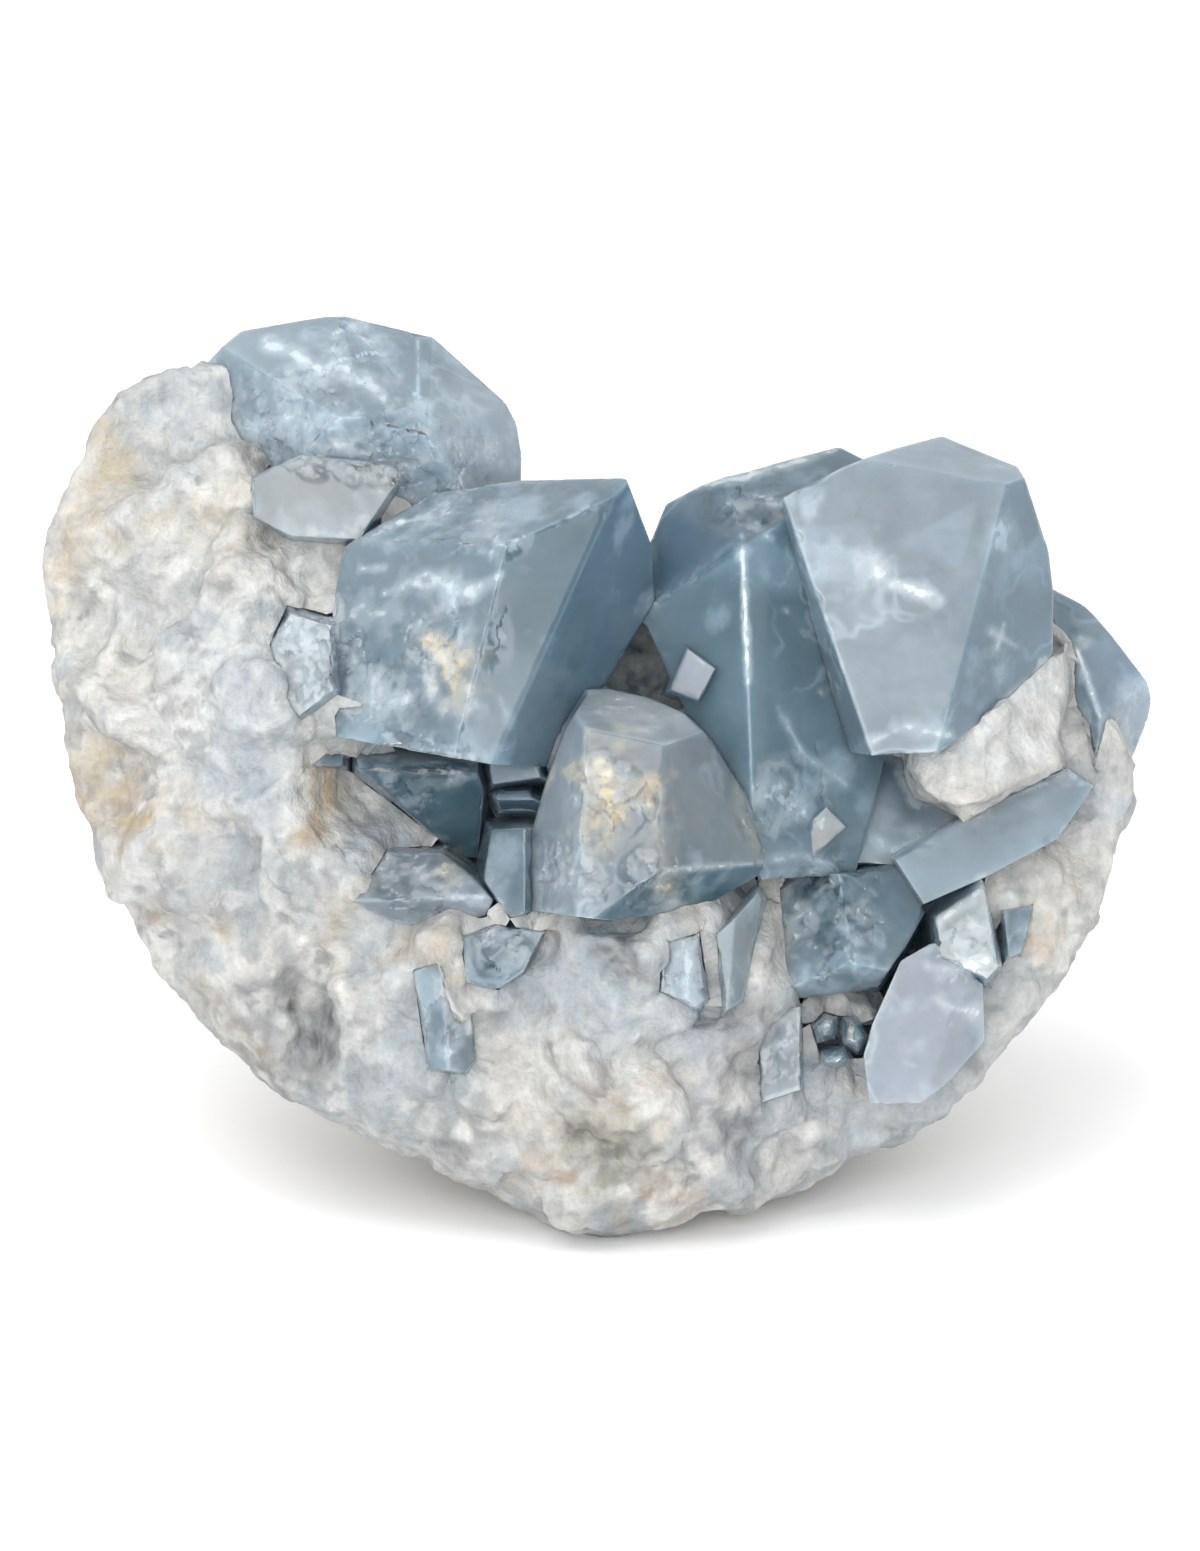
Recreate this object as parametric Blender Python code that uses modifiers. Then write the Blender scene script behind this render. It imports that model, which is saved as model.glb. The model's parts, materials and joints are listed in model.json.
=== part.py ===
"""Rough celestite: a broken piece of a crystal-lined nodule, standing on a small flat spot.

The pale massive rock of the nodule's wall is one solid, with a socket for each crystal that is
rooted in it. Crystals that grew into each other are one solid.
Run it with: blender --background --python part.py
"""

import math

import bmesh
import bpy
from mathutils import Matrix, Vector, noise

# Driving dimensions, in millimetres and degrees.
MM = 0.001
FRONT_LEAN = 18.0  # the front view looks down on the specimen by this much
CENTRE_HEIGHT = 49.0  # from the flat spot up to the middle of the nodule
CENTRE_BACK = 5.6  # how far the middle of the nodule lies behind the flat spot's centre
CENTRE_RIGHT = -3.6  # and how far to its right
GAP = 0.3  # clearance between two solids that touch in the real specimen
ROUGH_CUBE = 60.0  # half the side of the cube that a crystal is cut from

# The rock's outline in the front view: right, up. The last rows lie hidden behind the crystals.
OUTLINE = (
    (-36.5, 26.3), (-42.7, 24.2), (-46.1, 20.4), (-48.9, 14.8), (-50.4, 9.6), (-49.8, 4.4),
    (-49.3, -2.8), (-48.4, -10.2), (-45.2, -20.3), (-40.6, -28.6), (-34.1, -36.0), (-27.7, -41.1),
    (-18.5, -45.2), (-9.4, -49.3), (-3.9, -52.3), (-0.0, -53.2), (3.8, -52.7), (9.2, -50.7),
    (12.9, -51.2), (21.2, -47.1), (23.9, -45.7), (31.3, -42.4), (37.0, -36.0), (42.4, -29.5),
    (45.7, -23.0), (47.1, -17.6), (49.0, -13.8), (48.9, -10.3),
    (46, -4), (42, 2), (36, 7), (28, 9), (20, 8), (12, 6), (5, 4), (-3, 6), (-8, 9), (-14, 15), (-22, 21),
    (-30, 25),
)
MIDDLE_UP = -14.0  # the point that the outline is measured from, so that no direction crosses it twice
BACK_DEPTH = 34.0  # how far the rounded rind reaches back
FRONT_SQUARE = 4.0  # 2 would give a round front; more makes it flatter, with a sharper rim
BACK_SQUARE = 2.4

# How far the rock's broken front stands towards the viewer: right, up, near. It lies low where
# crystals are rooted, and in the pocket that the dark crystals line.
FRONT_DEPTHS = (
    (-48, 2, 2), (-47, -12, 4), (-44, 20, 0), (-38, 24, 0), (-40, 10, 8), (-41, -5, 12),
    (-38, -20, 12), (-42, -28, 4), (-30, -32, 10), (-33, 5, 12), (-30, -5, 15), (-31, -13, 14),
    (-28, 12, 8), (-24, 10, 6), (-25, 20, -4), (-16, 22, -6), (-15, 8, 4), (-8, 4, 2),
    (-3, -4, 4), (-22, 0, 13), (-22, -6, 14), (-22, -12, 8), (-16, -13, 7), (-15, -19, 8),
    (-27, -20, 14), (-23, -23, 15.5), (-11, -25, 17), (-6, -10, 12), (-5, -20, 16), (5, -14, 8),
    (13, -14, 5), (6, -27, 19.5), (-3, -28, 18.5), (0, -34, 19), (-10, -33, 17.5), (-20, -32, 15),
    (0, -42, 17), (8, -40, 16), (-10, -42, 15), (12, -33, 14), (18, -38, 9), (24, -40, 7),
    (30, -40, 4), (38, -33, 4), (44, -25, 3), (47, -15, 0), (38, -22, 6), (46, -8, -4),
    (34, -8, 5), (38, -9, 4), (30, -9, 4), (20, 5, -4), (28, 8, -4), (14, 10, -6),
    (44, -3, -10), (22, -14, 0), (24, -26, 4), (31, -35, 4), (2.5, -2, -6),
)
DEPTH_BLUR = 2.0  # how softly one listed depth passes into the next

# Pits and cracks in the broken front: right, up, width, height, depth.
PITS = (
    (-26.0, -35.0, 2.0, 3.6, 3.2), (-30.0, 17.0, 1.8, 1.2, 2.2), (-29.5, 9.5, 2.6, 1.1, 2.2),
    (2.0, -28.5, 2.2, 1.3, 2.2), (13.0, -40.5, 0.9, 3.6, 3.0), (-46.0, -7.0, 1.2, 2.0, 1.5),
    (-33.0, -23.5, 2.0, 2.6, 1.6), (-15.5, -45.0, 2.4, 1.4, 1.6), (-1.5, -44.5, 3.0, 1.6, 1.8),
    (17.0, -47.0, 3.4, 1.0, 1.6), (-25.0, -20.5, 1.6, 1.2, 1.4), (-38.0, 6.0, 3.0, 1.6, 1.2),
)
FINE_STEPS = 7  # how often the rock's first sphere is divided
EVEN_FACES = 0.8  # the spacing of the even faces that make it one clean closed surface
ROCK_FACES = 5600  # the facets that its broken surface is then brought down to
THINNEST = 0.002  # slivers under this are closed up

# Each crystal: its middle (right, up, near), then its faces as turn, tilt and distance from the
# middle. A face turns anticlockwise from the right and tilts towards the viewer.
CRYSTALS = {
    "upper_left_crystals": (
        # Domed crystal at the upper left.
        ((-20.0, 22.2, -2.0), (
            (133, -3, 13.7), (100, -3, 9.0), (92, -3, 8.4), (76, -3, 7.3), (48, -3, 7.9),
            (29, -3, 10.1), (9, -3, 12.0), (358, -3, 13.0), (288, -3, 10.6), (262, -3, 8.5),
            (243, -3, 10.1), (191, -3, 14.9), (99, 43, 6.5), (76, 40, 5.6), (48, 33, 6.6),
            (13, 36, 9.2), (183, 49, 10.3), (256, 53, 9.6), (90, -72, 13.0), (0, -38, 14.0),
            (180, -38, 14.0), (95, -35, 12.5),
        )),
        # Smooth broken face under it.
        ((-25.1, 13.7, 3.0), (
            (117, 6, 4.8), (83, 6, 4.1), (17, 6, 7.8), (328, 6, 5.7), (266, 6, 4.4), (240, 6, 5.1),
            (182, 6, 6.6), (107, 64, 4.8), (270, -80, 12.0),
        )),
        # Middle crystal of the left side.
        ((-8.9, 3.2, 8.0), (
            (97, -3, 11.5), (89, -3, 11.8), (24, -3, 14.7), (4, -3, 13.9), (329, -3, 11.3),
            (326, -3, 11.3), (261, -3, 13.0), (263, -3, 13.0), (186, -3, 15.5), (171, -3, 14.8),
            (123, -3, 12.5), (21, 82, 10.3), (340, 36, 9.9), (158, 60, 9.5), (109, 34, 10.1),
            (118, 48, 10.7), (90, -78, 20.0), (0, -45, 15.5), (85, -40, 13.5),
        )),
        # Small crystal beside it.
        ((-26.7, -1.6, 7.0), (
            (153, 8, 4.2), (77, 8, 5.4), (3, 8, 4.2), (305, 8, 4.9), (218, 8, 4.1), (192, 8, 3.2),
            (154, 68, 7.8), (94, 80, 8.3), (270, -80, 12.0),
        )),
    ),
    "right_crystals": (
        # Tall crystal of the right side.
        ((14.7, 2.9, 2.0), (
            (159, -3, 11.9), (115, -3, 13.1), (106, -3, 12.9), (60, -3, 16.8), (4, -3, 10.2),
            (345, -3, 13.8), (270, -3, 23.0), (205, -3, 9.6), (178, -3, 10.5), (181, 52, 10.2),
            (4, 55, 8.5), (148, 32, 10.3), (91, 41, 12.3), (90, -76, 17.0), (180, -42, 14.0),
            (95, -40, 15.0),
        )),
        # Broad crystal of the right side.
        ((31.3, 6.6, 6.0), (
            (117, -3, 12.6), (109, -3, 12.2), (112, -3, 12.2), (65, -3, 11.4), (21, -3, 9.3),
            (8, -3, 9.3), (0, -3, 9.6), (311, -3, 11.7), (303, -3, 12.3), (273, -3, 15.3),
            (198, -3, 13.1), (81, 80, 7.1), (355, 44, 7.1), (197, 11, 13.3), (80, 27, 10.5),
            (80, -74, 20.0), (0, -40, 14.5), (110, -38, 15.0),
        )),
        # Outer crystal of the right side.
        ((45.5, -4.3, -6.0), (
            (62, -3, 6.9), (43, -3, 4.9), (38, -3, 4.4), (15, -3, 4.8), (350, -3, 5.0),
            (336, -3, 5.2), (304, -3, 7.5), (247, -3, 9.4), (189, -3, 5.5), (175, -3, 5.7),
            (30, 50, 4.0), (191, 40, 4.1), (343, 35, 3.8), (63, 42, 5.5), (80, -72, 9.0),
            (0, -38, 7.5), (270, -42, 8.5),
        )),
        # Teal face set back below it.
        ((29.3, -14.1, 0.0), (
            (163, 4, 6.6), (85, 4, 5.3), (40, 4, 11.7), (300, 4, 4.0), (298, 4, 3.9),
            (267, 4, 6.0), (171, 4, 7.7), (155, 4, 6.4), (77, 65, 4.1), (90, -80, 12.0),
        )),
        # Sloping prism at the right.
        ((36.3, -16.7, 4.0), (
            (119, 2, 3.3), (112, 2, 3.5), (56, 2, 8.4), (326, 2, 4.5), (294, 2, 3.0),
            (298, 2, 2.8), (212, 2, 9.8), (61, 67, 4.2), (109, 25, 4.1), (211, 7, 10.7),
            (90, -80, 14.0),
        )),
        # Small white cube.
        ((8.4, -2.6, 7.0), (
            (158, 5, 1.9), (56, 5, 2.2), (331, 5, 1.8), (247, 5, 2.2), (169, 61, 4.6),
            (270, -80, 4.0),
        )),
        # Small white rhomb.
        ((20.0, -16.1, 5.0), (
            (130, 5, 1.7), (43, 5, 2.0), (314, 5, 1.8), (184, 5, 1.6), (342, 71, 5.0),
            (270, -80, 5.0),
        )),
    ),
    "front_crystals": (
        # Blunt crystal in front.
        ((3.7, -13.3, 10.5), (
            (96, 0, 10.0), (77, 0, 8.8), (66, 0, 8.4), (45, 0, 8.0), (32, 0, 7.9), (20, 0, 8.7),
            (351, 0, 11.7), (300, 0, 11.3), (276, 0, 10.5), (264, 0, 11.1), (184, 0, 10.6),
            (164, 0, 8.6), (161, 0, 8.5), (148, 0, 9.0), (106, 72, 11.2), (168, 27, 9.7),
            (15, 44, 9.6), (82, 24, 8.7), (310, 31, 12.3), (270, -80, 12.0),
        )),
        # Pale prism under it.
        ((7.6, -29.1, 11.5), (
            (104, 5, 4.0), (6, 5, 2.3), (319, 5, 3.5), (246, 5, 3.0), (178, 5, 3.0),
            (177, 59, 7.9), (4, 43, 6.2), (270, -80, 12.0),
        )),
        # Pale prism beside that one.
        ((12.5, -26.9, 8.5), (
            (130, 5, 3.3), (32, 5, 4.5), (349, 5, 1.7), (305, 5, 4.5), (187, 5, 2.8),
            (353, 65, 8.3), (356, 26, 3.5), (270, -80, 12.0),
        )),
    ),
    "pocket_crystals": (
        # Dark crystal in the pocket.
        ((-15.3, -12.4, 3.5), (
            (101, 6, 5.1), (87, 6, 4.5), (13, 6, 5.4), (349, 6, 5.6), (270, 6, 6.6), (232, 6, 3.7),
            (180, 6, 7.3), (88, 28, 5.5), (268, 50, 6.0), (270, -80, 10.0),
        )),
        # Small crystal at its left.
        ((-24.6, -9.4, 3.5), (
            (93, 6, 1.8), (55, 6, 1.6), (0, 6, 2.3), (270, 6, 1.9), (196, 6, 2.3), (116, 52, 5.3),
            (270, -80, 9.0),
        )),
        # Small crystal at its right.
        ((-7.5, -13.6, 6.5), (
            (118, 6, 1.9), (92, 6, 1.4), (40, 6, 2.0), (328, 6, 2.5), (269, 6, 1.6), (200, 6, 2.3),
            (96, 28, 3.6), (258, 47, 5.5), (270, -80, 9.0),
        )),
        # Facet over that one.
        ((-7.5, -11.0, 6.5), (
            (97, 6, 1.5), (6, 6, 2.8), (276, 6, 1.6), (190, 6, 2.9), (179, 70, 6.6),
            (270, -80, 9.0),
        )),
        # Facet under that one.
        ((-8.3, -20.3, 8.5), (
            (95, 6, 4.8), (2, 6, 2.6), (281, 6, 4.7), (212, 6, 2.7), (170, 6, 2.7), (146, 59, 7.1),
            (270, -80, 11.0),
        )),
        # Blunt crystal under the pocket.
        ((-14.9, -22.0, 8.5), (
            (143, 6, 6.0), (90, 6, 4.1), (56, 6, 3.9), (44, 6, 4.3), (338, 6, 5.9), (279, 6, 3.5),
            (259, 6, 3.6), (244, 6, 4.3), (99, 49, 5.3), (261, 59, 6.5), (270, -80, 11.0),
        )),
        # Grey facet below.
        ((-8.9, -27.5, 11.5), (
            (110, 6, 3.3), (86, 6, 3.3), (334, 6, 3.3), (303, 6, 3.1), (257, 6, 3.6),
            (184, 6, 3.8), (120, 66, 6.3), (270, -80, 12.0),
        )),
        # Streaked prism.
        ((-13.4, -33.3, 8.5), (
            (118, 6, 6.1), (47, 6, 4.0), (3, 6, 2.8), (325, 6, 4.5), (263, 6, 5.2), (189, 6, 3.2),
            (184, 62, 7.7), (4, 73, 8.0), (270, -80, 11.0),
        )),
    ),
    "lower_right_crystals": (
        # Dark blue crystal.
        ((21.5, -25.7, 2.0), (
            (177, 4, 7.2), (125, 4, 6.8), (91, 4, 6.1), (35, 4, 8.0), (332, 4, 6.3), (326, 4, 6.1),
            (277, 4, 5.7), (226, 4, 8.5), (47, 53, 9.0), (154, 50, 7.9), (273, 32, 8.5),
            (270, -80, 12.0),
        )),
        # Pale crystal right of it.
        ((33.1, -26.4, 3.0), (
            (121, 5, 4.2), (12, 5, 2.9), (319, 5, 4.1), (245, 5, 3.1), (185, 5, 3.5),
            (86, 67, 7.7), (270, -80, 10.0),
        )),
        # Lavender crystal under it.
        ((28.7, -34.6, 3.0), (
            (164, -2, 4.1), (156, -2, 4.0), (120, -2, 6.3), (51, -2, 6.9), (4, -2, 5.9),
            (316, -2, 4.8), (302, -2, 5.1), (270, -2, 6.0), (187, -2, 5.0), (332, 72, 7.6),
            (337, 37, 6.2), (270, -80, 8.0), (320, -45, 8.5),
        )),
        # Small facet at the right.
        ((37.6, -25.6, -1.0), (
            (99, 5, 2.7), (347, 5, 1.5), (295, 5, 2.4), (185, 5, 1.7), (15, 52, 5.9),
            (270, -80, 9.0),
        )),
        # Flat prism at the left.
        ((16.1, -35.5, 3.0), (
            (111, 5, 3.7), (94, 5, 3.9), (1, 5, 2.6), (288, 5, 5.2), (183, 5, 2.6), (144, 74, 7.8),
            (270, -80, 11.0),
        )),
        # First of the small dark crystals.
        ((20.2, -34.1, 4.0), (
            (130, 8, 1.5), (68, 8, 1.7), (352, 8, 1.5), (287, 8, 1.7), (198, 8, 1.6),
            (136, 60, 6.9), (270, -80, 9.0),
        )),
        # Second small dark crystal.
        ((22.8, -34.6, 4.0), (
            (96, 8, 1.9), (28, 8, 1.4), (325, 8, 1.7), (246, 8, 1.7), (177, 8, 1.4), (9, 44, 4.9),
            (270, -80, 9.0),
        )),
        # Third small dark crystal.
        ((21.1, -36.9, 4.0), (
            (101, 8, 1.3), (27, 8, 1.7), (303, 8, 1.3), (252, 8, 1.3), (177, 8, 1.7),
            (90, 65, 7.2), (270, -80, 9.0),
        )),
    ),
}

# The creamy white lump under the crystals of the right side, which is part of the rock.
WHITE_LUMP = ((35.1, -8.5, 4.0), (
        (164, 5, 6.6), (121, 5, 3.9), (124, 5, 3.5), (5, 5, 7.9), (348, 5, 6.4), (301, 5, 4.8),
        (281, 5, 5.6), (245, 5, 7.2), (200, 5, 7.9), (141, 67, 8.2), (19, 51, 6.4),
        (116, 21, 5.5), (270, -80, 9.0),
    ))


def front_view():
    """The matrix from front-view millimetres (right, up, near) to the specimen's own metres."""
    lean = math.radians(FRONT_LEAN)
    right = Vector((1, 0, 0))
    up = Vector((0, math.sin(lean), math.cos(lean)))
    near = Vector((0, -math.cos(lean), math.sin(lean)))
    turn = Matrix((right, up, near)).transposed().to_4x4()
    centre = Vector((CENTRE_RIGHT, CENTRE_BACK, CENTRE_HEIGHT)) * MM
    return Matrix.Translation(centre) @ turn @ Matrix.Scale(MM, 4)


TO_WORLD = front_view()


def outline_radius(across, up):
    """How far the outline lies from its middle in a direction of the front view."""
    farthest = 0.0
    for start, end in zip(OUTLINE, OUTLINE[1:] + OUTLINE[:1]):
        start_right, start_up = start[0], start[1] - MIDDLE_UP
        edge_right, edge_up = end[0] - start[0], end[1] - start[1]
        slant = across * edge_up - up * edge_right
        if abs(slant) < 1e-9:
            continue
        reach = (start_right * edge_up - start_up * edge_right) / slant
        share = (start_right * up - start_up * across) / slant
        if reach > 0 and -1e-6 <= share <= 1 + 1e-6:
            farthest = max(farthest, reach)
    return farthest


def front_depth(right, up):
    """The broken front's depth at a place in the front view, blended from the listed ones."""
    total = weights = 0.0
    for place_right, place_up, near in FRONT_DEPTHS:
        weight = ((right - place_right) ** 2 + (up - place_up) ** 2 + DEPTH_BLUR**2) ** -2
        total += weight * near
        weights += weight
    depth = total / weights
    for place_right, place_up, width, height, deep in PITS:
        reach = ((right - place_right) / width) ** 2 + ((up - place_up) / height) ** 2
        if reach < 6:
            depth -= deep * math.exp(-reach)
    return depth


def nodule_point(direction):
    """Where the rock's surface lies in a direction from the nodule's middle, before its lumps."""
    share = min(1.0, math.hypot(direction.x, direction.y))
    if share < 1e-6:
        across, aloft = 1.0, 0.0
    else:
        across, aloft = direction.x / share, direction.y / share
    radius = outline_radius(across, aloft) * share
    right, up = radius * across, MIDDLE_UP + radius * aloft
    if direction.z > 0:
        near = front_depth(right, up)
        near *= (1 - share**FRONT_SQUARE) ** (1 / FRONT_SQUARE if near > 0 else 1)
    else:
        near = -BACK_DEPTH * (1 - share**BACK_SQUARE) ** (1 / BACK_SQUARE)
    return Vector((right, up, near))


def block_face(point, size):
    """How far a surface broken into blocks of a size stands out: each block is flat and tilted."""
    _, middles = noise.voronoi(point / size)
    middle = middles[0]
    tilt = noise.cell_vector(middle * 7.3) - Vector((0.5, 0.5, 0.5))
    lift = noise.cell(middle * 5.1 + Vector((9, 4, 7))) - 0.5
    return (point / size - middle).dot(tilt) * size * 0.85 + lift * size * 0.12


def roughness(point, direction):
    """How far the rock stands out: broken blocks in front, a lumpy rind behind."""
    front = min(1.0, max(0.0, direction.z * 2.5 + 0.35))
    rim = 1.0 - 0.6 * math.hypot(direction.x, direction.y) ** 8
    broken = block_face(point, 9.0) + 0.4 * block_face(point + Vector((3, 8, 5)), 4.5)
    rind = noise.noise(point / 9.0) * 1.6 + noise.noise(point / 4.0) * 0.5
    return (broken * front + rind * (1 - front)) * rim


def new_object(name, bm, collection):
    mesh = bpy.data.meshes.new(name)
    bm.to_mesh(mesh)
    bm.free()
    obj = bpy.data.objects.new(name, mesh)
    collection.objects.link(obj)
    return obj


def apply_modifier(obj):
    """Replaces an object's mesh with what its modifier makes of it."""
    graph = bpy.context.evaluated_depsgraph_get()
    mesh = bpy.data.meshes.new_from_object(obj.evaluated_get(graph))
    obj.modifiers.clear()
    obj.data = mesh


def rock(collection):
    """The massive rock, in front-view millimetres, with fewer facets where it is flat."""
    bm = bmesh.new()
    bmesh.ops.create_icosphere(bm, subdivisions=FINE_STEPS, radius=1.0)
    for vert in bm.verts:
        direction = vert.co.normalized()
        point = nodule_point(direction)
        vert.co = point + direction * roughness(point, direction)
    obj = new_object("matrix", bm, collection)
    even = obj.modifiers.new("even faces", "REMESH")
    even.mode = "VOXEL"
    even.voxel_size = EVEN_FACES
    apply_modifier(obj)
    fewer = obj.modifiers.new("fewer faces", "DECIMATE")
    fewer.ratio = ROCK_FACES / (2 * len(obj.data.polygons))
    apply_modifier(obj)
    return obj


def cut_by(bm, point, outward):
    """Cuts away what lies past a plane and closes the cut with one flat face."""
    cut = bmesh.ops.bisect_plane(
        bm, geom=bm.verts[:] + bm.edges[:] + bm.faces[:], dist=1e-5,
        plane_co=point, plane_no=outward, clear_outer=True,
    )
    edges = [item for item in cut["geom_cut"] if isinstance(item, bmesh.types.BMEdge)]
    if edges:
        bmesh.ops.edgeloop_fill(bm, edges=edges)


def facing(turn, tilt):
    """A direction of the front view: turn anticlockwise from the right, tilt towards the viewer."""
    turn, tilt = math.radians(turn), math.radians(tilt)
    return Vector((math.cos(tilt) * math.cos(turn), math.cos(tilt) * math.sin(turn), math.sin(tilt)))


def crystal(middle, faces, collection, grow=0.0):
    """One convex crystal, cut from a cube by its flat faces, in front-view millimetres."""
    bm = bmesh.new()
    middle = Vector(middle)
    bmesh.ops.create_cube(bm, size=2 * ROUGH_CUBE, matrix=Matrix.Translation(middle))
    for turn, tilt, distance in faces:
        outward = facing(turn, tilt)
        cut_by(bm, middle + outward * (distance + grow), outward)
    return new_object("crystal", bm, collection)


def apply_boolean(obj, other, operation):
    """Joins other to obj, or cuts it from obj; other is then removed."""
    modifier = obj.modifiers.new(operation, "BOOLEAN")
    modifier.operation = operation
    modifier.object = other
    modifier.solver = "EXACT"
    apply_modifier(obj)
    bpy.data.objects.remove(other)


def joined(crystals, collection, grow=0.0):
    """A group's crystals as one solid."""
    first, *others = (crystal(middle, faces, collection, grow) for middle, faces in crystals)
    for other in others:
        apply_boolean(first, other, "UNION")
    return first


def keep_largest(obj):
    """Drops the chips that a cut leaves loose, or hanging from one edge or corner."""
    bm = bmesh.new()
    bm.from_mesh(obj.data)
    bmesh.ops.triangulate(bm, faces=bm.faces)
    bmesh.ops.dissolve_degenerate(bm, dist=THINNEST, edges=bm.edges)
    pieces, seen = [], set()
    for seed in bm.faces:
        if seed in seen:
            continue
        piece, front = {seed}, [seed]
        while front:
            for edge in front.pop().edges:
                across = edge.link_faces if len(edge.link_faces) == 2 else ()
                for face in across:
                    if face not in piece:
                        piece.add(face)
                        front.append(face)
        seen |= piece
        pieces.append(piece)
    largest = max(pieces, key=len)
    bmesh.ops.delete(bm, geom=[face for face in bm.faces if face not in largest], context="FACES")
    bm.to_mesh(obj.data)
    bm.free()


def finish(obj, name, material):
    """Moves a solid to its place in the specimen, names it and gives it its material."""
    obj.name = obj.data.name = name
    obj.data.transform(TO_WORLD)
    obj.data.materials.clear()
    obj.data.materials.append(material)


def stand_flat(obj, collection):
    """Cuts the rock off flat at the surface that it stands on, still in the front view."""
    upright = crystal((0, 0, 0), ((270, -FRONT_LEAN, CENTRE_HEIGHT),), collection)
    apply_boolean(obj, upright, "INTERSECT")


def new_material(name, colour, roughness_value):
    material = bpy.data.materials.new(name)
    material.use_nodes = True
    shader = material.node_tree.nodes["Principled BSDF"]
    shader.inputs["Base Color"].default_value = (*colour, 1.0)
    shader.inputs["Roughness"].default_value = roughness_value
    shader.inputs["Metallic"].default_value = 0.0
    return material


def main():
    for obj in list(bpy.data.objects):
        bpy.data.objects.remove(obj)
    specimen = bpy.data.collections.new("rough_celestite")
    bpy.context.scene.collection.children.link(specimen)
    pale_rock = new_material("pale_rock", (0.68, 0.67, 0.63), 0.8)
    blue_crystal = new_material("blue_crystal", (0.25, 0.34, 0.42), 0.2)

    body = rock(specimen)
    apply_boolean(body, crystal(*WHITE_LUMP, specimen), "UNION")
    groups = list(CRYSTALS.items())
    for position, (name, crystals) in enumerate(groups):
        group = joined(crystals, specimen)
        for _, earlier in groups[:position]:
            apply_boolean(group, joined(earlier, specimen, GAP), "DIFFERENCE")
        keep_largest(group)
        finish(group, name, blue_crystal)
        for middle, faces in crystals:
            apply_boolean(body, crystal(middle, faces, specimen, GAP), "DIFFERENCE")
    stand_flat(body, specimen)
    keep_largest(body)
    finish(body, "matrix", pale_rock)
    for vert in body.data.vertices:
        if abs(vert.co.z) < 1e-6:
            vert.co.z = 0.0


main()
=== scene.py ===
"""Looks of the rough celestite: broken pale rock and translucent blue crystals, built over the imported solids.

Places on the front are given as the front view shows them: pixels across and down a 1200 x 1551 picture.
Colours are sRGB, 0 to 255, and lengths are millimetres unless a name says otherwise.
"""

import json
import math

import bpy
import numpy as np
from mathutils import Matrix, Vector, kdtree
from mathutils.bvhtree import BVHTree

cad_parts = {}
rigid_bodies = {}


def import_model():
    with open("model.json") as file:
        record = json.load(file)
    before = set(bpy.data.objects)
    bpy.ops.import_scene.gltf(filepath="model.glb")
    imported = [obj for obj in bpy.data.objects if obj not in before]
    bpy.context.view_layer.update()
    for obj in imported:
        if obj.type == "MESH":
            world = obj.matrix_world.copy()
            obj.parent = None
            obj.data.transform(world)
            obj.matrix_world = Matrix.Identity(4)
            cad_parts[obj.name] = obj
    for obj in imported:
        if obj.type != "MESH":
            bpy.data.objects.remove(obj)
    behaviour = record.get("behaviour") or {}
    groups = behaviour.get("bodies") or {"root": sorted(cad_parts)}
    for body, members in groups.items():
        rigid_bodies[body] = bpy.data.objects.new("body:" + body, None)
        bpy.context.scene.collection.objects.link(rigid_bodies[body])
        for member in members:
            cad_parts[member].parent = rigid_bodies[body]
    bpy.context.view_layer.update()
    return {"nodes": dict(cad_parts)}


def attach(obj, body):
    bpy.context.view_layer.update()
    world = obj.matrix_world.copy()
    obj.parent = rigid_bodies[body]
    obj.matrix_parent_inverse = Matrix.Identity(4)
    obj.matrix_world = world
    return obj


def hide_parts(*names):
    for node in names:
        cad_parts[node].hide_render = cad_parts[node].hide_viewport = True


MM = 0.001

# The front view: a long lens that looks down on the specimen.
LEAN = math.radians(18.0)
CENTRE = np.array((-3.6, 5.6, 49.0))
DISTANCE = 800.0
VIEW_DROP = 11.4
PIXELS_PER_MM = 11.0
PICTURE = (1200, 1551)
SENSOR = 36.0
RIGHT = np.array((1.0, 0.0, 0.0))
UP = np.array((0.0, math.sin(LEAN), math.cos(LEAN)))
NEAR = np.array((0.0, -math.cos(LEAN), math.sin(LEAN)))

# The ways that the pale mineral's fibres run, and how far they are drawn out along them.
FIBRE_WAYS = ((0.8, 0.3, 0.5), (-0.2, 0.5, 0.85), (0.5, -0.6, 0.6))
FIBRE_STRETCH = 0.8
FIBRE_PATCH = 9.0


def front_view(points):
    """Pixels across and down, and how far towards the viewer, of points in millimetres."""
    from_centre = points - CENTRE
    near = from_centre @ NEAR
    scale = (DISTANCE - near) / DISTANCE / PIXELS_PER_MM
    across = PICTURE[0] / 2 + from_centre @ RIGHT / scale
    down = PICTURE[1] / 2 - (from_centre @ UP + VIEW_DROP) / scale
    return across, down, near


def linear(colour):
    """Scene-linear values of an sRGB colour."""
    value = np.asarray(colour, float) / 255
    return np.where(value <= 0.04045, value / 12.92, ((value + 0.055) / 1.055) ** 2.4)


def smooth(low, high, value):
    """0 below low, 1 above high, and an even passage between them."""
    t = np.clip((value - low) / (high - low), 0, 1)
    return t * t * (3 - 2 * t)


# Noise with a fixed seed, on points in millimetres.


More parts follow.
